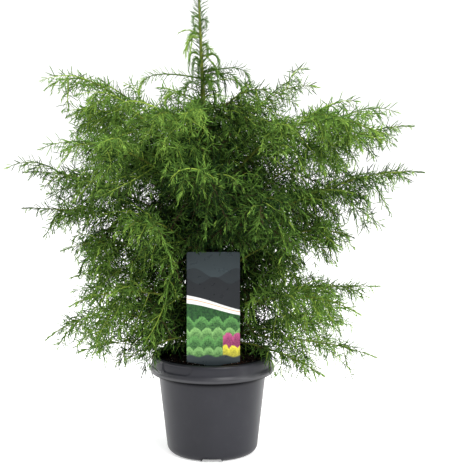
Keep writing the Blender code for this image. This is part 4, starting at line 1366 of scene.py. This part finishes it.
def grow_twigs(twigs, laterals, sprigs, chance):
    """The stalks that carry the needles: slim closed tubes, with the laterals in a lower and an upper
    piece. Their tint follows the painted light of their spray: those in the light are fresh green,
    those in the shade brown, and the leader's never brown."""
    wood = [new_finish("twig green", (0.085, 0.150, 0.024), 0.60, Specular_IOR_Level=0.08),
            new_finish("twig fresh green", (0.290, 0.410, 0.060), 0.55, Specular_IOR_Level=0.08),
            new_finish("twig brown", (0.055, 0.036, 0.018), 0.70, Specular_IOR_Level=0.1)]
    low = laterals.owner < np.median(laterals.owner)
    made = []
    for name, shoots, sides, samples in (("main_twigs", twigs, 4, 9),
                                         ("side_twigs_low", laterals.keep(low), 3, 4),
                                         ("side_twigs_high", laterals.keep(~low), 3, 4),
                                         ("sprig_stalks", sprigs, 3, 3)):
        paths = resampled(shoots.paths, np.ones(len(shoots.paths)), samples)
        share = np.linspace(0.0, 1.0, samples)[None]
        points, faces = tubes(paths, shoots.girth[:, None] * (1.0 - 0.72 * share), sides, pointed=True)
        # Painted light and shade: twigs in the light take the fresh green, those in deep shade the brown.
        light = light_of(shoots.paths[:, -1], chance)
        kind = np.where(light > 0.56, 1, np.where((light > 0.10) | (shoots.owner >= HOOKED), 0, 2))
        piece = put_mesh(name, points, faces, wood, np.repeat(kind, len(faces) // len(paths)))
        made.append(settle(piece, "bark"))
    return made


# Hooked shoots round the leader: height of the foot on the trunk, heading in degrees, reach, how
# high the arch rises, how far it is drawn down, and the share that is new growth.
LEADER_SHOOTS = (
    (0.656, 185, 0.010, 0.005, 0.008, 1.3), (0.652, 352, 0.010, 0.004, 0.009, 1.3),
    (0.645, 90, 0.012, 0.006, 0.010, 1.3), (0.638, 215, 0.010, 0.008, 0.000, 1.3),
    (0.632, 188, 0.018, 0.005, 0.024, 1.3), (0.629, 200, 0.023, 0.003, 0.028, 1.3),
    (0.615, 60, 0.020, 0.006, 0.018, 1.3),
    (0.606, 25, 0.016, 0.008, 0.000, 0.8), (0.600, 350, 0.028, 0.007, 0.026, 1.3),
    (0.602, 150, 0.022, 0.007, 0.022, 1.3), (0.592, 240, 0.026, 0.009, 0.024, 1.3),
    (0.584, 100, 0.034, 0.010, 0.024, 0.9), (0.576, 320, 0.032, 0.010, 0.020, 0.9),
    (0.566, 30, 0.040, 0.012, 0.022, 0.7), (0.560, 286, 0.040, 0.010, 0.004, 0.5),
    (0.554, 130, 0.044, 0.012, 0.022, 0.6), (0.546, 215, 0.044, 0.012, 0.012, 0.6),
    (0.540, 70, 0.050, 0.014, 0.018, 0.6), (0.534, 172, 0.058, 0.014, 0.006, 0.6),
    (0.577, 352, 0.072, 0.010, 0.020, 0.35), (0.569, 187, 0.094, 0.009, 0.024, 0.35),
    (0.574, 338, 0.056, 0.005, 0.016, 0.40), (0.560, 10, 0.062, 0.010, 0.022, 0.50),
    (0.568, 300, 0.030, 0.006, 0.012, 1.3), (0.562, 330, 0.030, 0.004, 0.020, 1.3),
    (0.529, 345, 0.052, 0.003, -0.013, 0.3), (0.522, 260, 0.050, 0.014, 0.010, 0.5),
    (0.516, 20, 0.056, 0.014, 0.012, 0.5), (0.508, 110, 0.062, 0.016, 0.016, 0.5),
    (0.500, 300, 0.060, 0.016, 0.012, 0.5),
)
LEADER_FOOT = 0.440


def leader_shoots():
    """The hooked shoots round the leader, and last the leader itself: a shoot runs out by
    reach t (2 - t), rises by arch 4 t (1 - t) and is drawn down by drop t3."""
    height, heading, reach, arch, drop, soft = (column[:, None] for column in np.array(LEADER_SHOOTS).T)
    part = np.linspace(0.0, 1.0, 17)[None]
    angle = np.radians(heading)
    out = reach * part * (2 - part)
    up = arch * 4 * part * (1 - part) - drop * part ** 3
    hooks = np.stack((out * np.cos(angle), out * np.sin(angle), up), axis=-1)
    paths = trunk_points(height[:, 0])[:, None] + hooks
    spire = trunk_points(np.linspace(LEADER_FOOT, TRUNK_TIP_Z, 17))[None]
    paths = np.concatenate((paths, spire))
    girth = np.append(0.0005 + 0.008 * reach[:, 0], 0.0006)
    return Shoots(paths, np.full(len(paths), len(BOUGHS) - 1), girth, np.append(soft, 0.05))


# Studio

CAMERA_PLACE = (0.0302, -2.218, 0.668)
CAMERA_PITCH = math.radians(8.44)
CAMERA_LENS = 115.45
FLOOR_SIZE = 9.0
BACKDROP_Y = 6.0
LAMP_AIM = np.array([0.0, 0.0, 0.33])

# Lamps besides the main one: place, diameter and watts.
SIDE_LAMPS = {
    "right_lamp": ((2.2, -0.5, 0.9), 2.0, 40.0),
    "left_lamp": ((-2.1, 1.0, 0.9), 1.2, 34.0),
    "top_lamp": ((-0.4, 0.0, 2.8), 1.8, 36.0),
}


def make_stage(settings):
    """A pale floor that rises far behind into a plain backdrop, by 0.9 times the square of the way past
    its start, a large soft lamp above the front at the right, three more lamps and even light from all
    round."""
    scene = bpy.context.scene
    scene.view_settings.view_transform = "Standard"
    flat_run = np.linspace(-FLOOR_SIZE, BACKDROP_Y, 30)
    rising_run = BACKDROP_Y + np.linspace(0.05, 3.0, 24)
    side, run = np.meshgrid(np.linspace(-FLOOR_SIZE, FLOOR_SIZE, 21), np.append(flat_run, rising_run))
    rise = 0.9 * np.maximum(run - BACKDROP_Y, 0.0) ** 2
    finish = new_finish("pale floor", settings.floor, 0.8, Specular_IOR_Level=0.1, Emission_Strength=0.42)
    wiring = Wiring(finish)
    cloud = wiring.noise(wiring.place(), 1.5, 2.0)
    wiring.colour(wiring.mix(cloud, [0.99 * part for part in settings.floor], settings.floor))
    points = np.stack((side, run, rise), axis=-1).reshape(-1, 3)
    floor = put_mesh("studio_floor", points, grid_faces(*side.shape, False), [finish])

    world = bpy.data.worlds.new("studio")
    world.use_nodes = True
    background = world.node_tree.nodes["Background"]
    background.inputs["Color"].default_value = (1.0, 1.0, 1.0, 1.0)
    background.inputs["Strength"].default_value = settings.sky
    scene.world = world

    lamps = {"key_lamp": ((1.05, -2.0, 2.2), 1.5, settings.key), **SIDE_LAMPS}
    for name, (place, size, power) in lamps.items():
        light = bpy.data.lights.new(name, "AREA")
        light.shape = "DISK"
        light.size = size
        light.energy = power
        lamp = bpy.data.objects.new(name, light)
        lamp.location = place
        aim = LAMP_AIM - place
        flat = math.hypot(aim[0], aim[1])
        lamp.rotation_euler = (math.atan2(flat, -aim[2]), 0.0, math.atan2(-aim[0], aim[1]))
        scene.collection.objects.link(lamp)

    camera = bpy.data.objects.new("camera", bpy.data.cameras.new("camera"))
    camera.data.lens = CAMERA_LENS
    camera.data.sensor_width = 36.0
    camera.data.sensor_fit = "HORIZONTAL"
    camera.location = CAMERA_PLACE
    camera.rotation_euler = (0.5 * math.pi - CAMERA_PITCH, 0.0, 0.0)
    scene.collection.objects.link(camera)
    scene.camera = camera


class CRYPTOMERIA_OT_pot(bpy.types.Operator):
    """Build the nursery pot"""

    bl_idname = "cryptomeria.pot"
    bl_label = "Pot"

    def execute(self, context):
        make_pot(context.scene.cryptomeria_pot)
        return {"FINISHED"}


class CRYPTOMERIA_OT_soil(bpy.types.Operator):
    """Build the soil and its loose grains"""

    bl_idname = "cryptomeria.soil"
    bl_label = "Soil"

    def execute(self, context):
        make_soil(context.scene.cryptomeria_pot)
        return {"FINISHED"}


class CRYPTOMERIA_OT_card(bpy.types.Operator):
    """Build the picture card"""

    bl_idname = "cryptomeria.card"
    bl_label = "Picture card"

    def execute(self, context):
        make_card(context.scene.cryptomeria_card)
        return {"FINISHED"}


class CRYPTOMERIA_OT_bark(bpy.types.Operator):
    """Build the bark of trunk and boughs"""

    bl_idname = "cryptomeria.bark"
    bl_label = "Trunk and boughs"

    def execute(self, context):
        make_bark()
        return {"FINISHED"}


class CRYPTOMERIA_OT_foliage(bpy.types.Operator):
    """Grow the twigs and needles of every mass"""

    bl_idname = "cryptomeria.foliage"
    bl_label = "Twigs and needles"

    def execute(self, context):
        make_foliage(context.scene.cryptomeria_foliage)
        return {"FINISHED"}


class CRYPTOMERIA_OT_stage(bpy.types.Operator):
    """Set up the floor, the light and the camera"""

    bl_idname = "cryptomeria.stage"
    bl_label = "Studio"

    def execute(self, context):
        make_stage(context.scene.cryptomeria_studio)
        return {"FINISHED"}


OPERATORS = (CRYPTOMERIA_OT_pot, CRYPTOMERIA_OT_soil, CRYPTOMERIA_OT_card, CRYPTOMERIA_OT_bark,
             CRYPTOMERIA_OT_foliage, CRYPTOMERIA_OT_stage)
SETTINGS = (("cryptomeria_pot", PotSettings), ("cryptomeria_card", CardSettings),
            ("cryptomeria_foliage", FoliageSettings), ("cryptomeria_studio", StudioSettings))


class CRYPTOMERIA_PT_panel(bpy.types.Panel):
    """Lists the plant's pieces and their settings"""

    bl_idname = "CRYPTOMERIA_PT_panel"
    bl_label = "Potted cryptomeria"
    bl_space_type = "VIEW_3D"
    bl_region_type = "UI"
    bl_category = "Cryptomeria"

    def draw(self, context):
        for operator in OPERATORS:
            self.layout.operator(operator.bl_idname)
        for name, group in SETTINGS:
            box = self.layout.box()
            for setting in group.__annotations__:
                box.prop(getattr(context.scene, name), setting)


CLASSES = tuple(group for _, group in SETTINGS) + OPERATORS + (CRYPTOMERIA_PT_panel,)


def register():
    for part in CLASSES:
        bpy.utils.register_class(part)
    for name, group in SETTINGS:
        setattr(bpy.types.Scene, name, bpy.props.PointerProperty(type=group))


def unregister():
    for name, _ in SETTINGS:
        delattr(bpy.types.Scene, name)
    for part in reversed(CLASSES):
        bpy.utils.unregister_class(part)


def main():
    register()
    for operator in OPERATORS:
        group, name = operator.bl_idname.split(".")
        getattr(getattr(bpy.ops, group), name)()


if __name__ == "__main__":
    main()
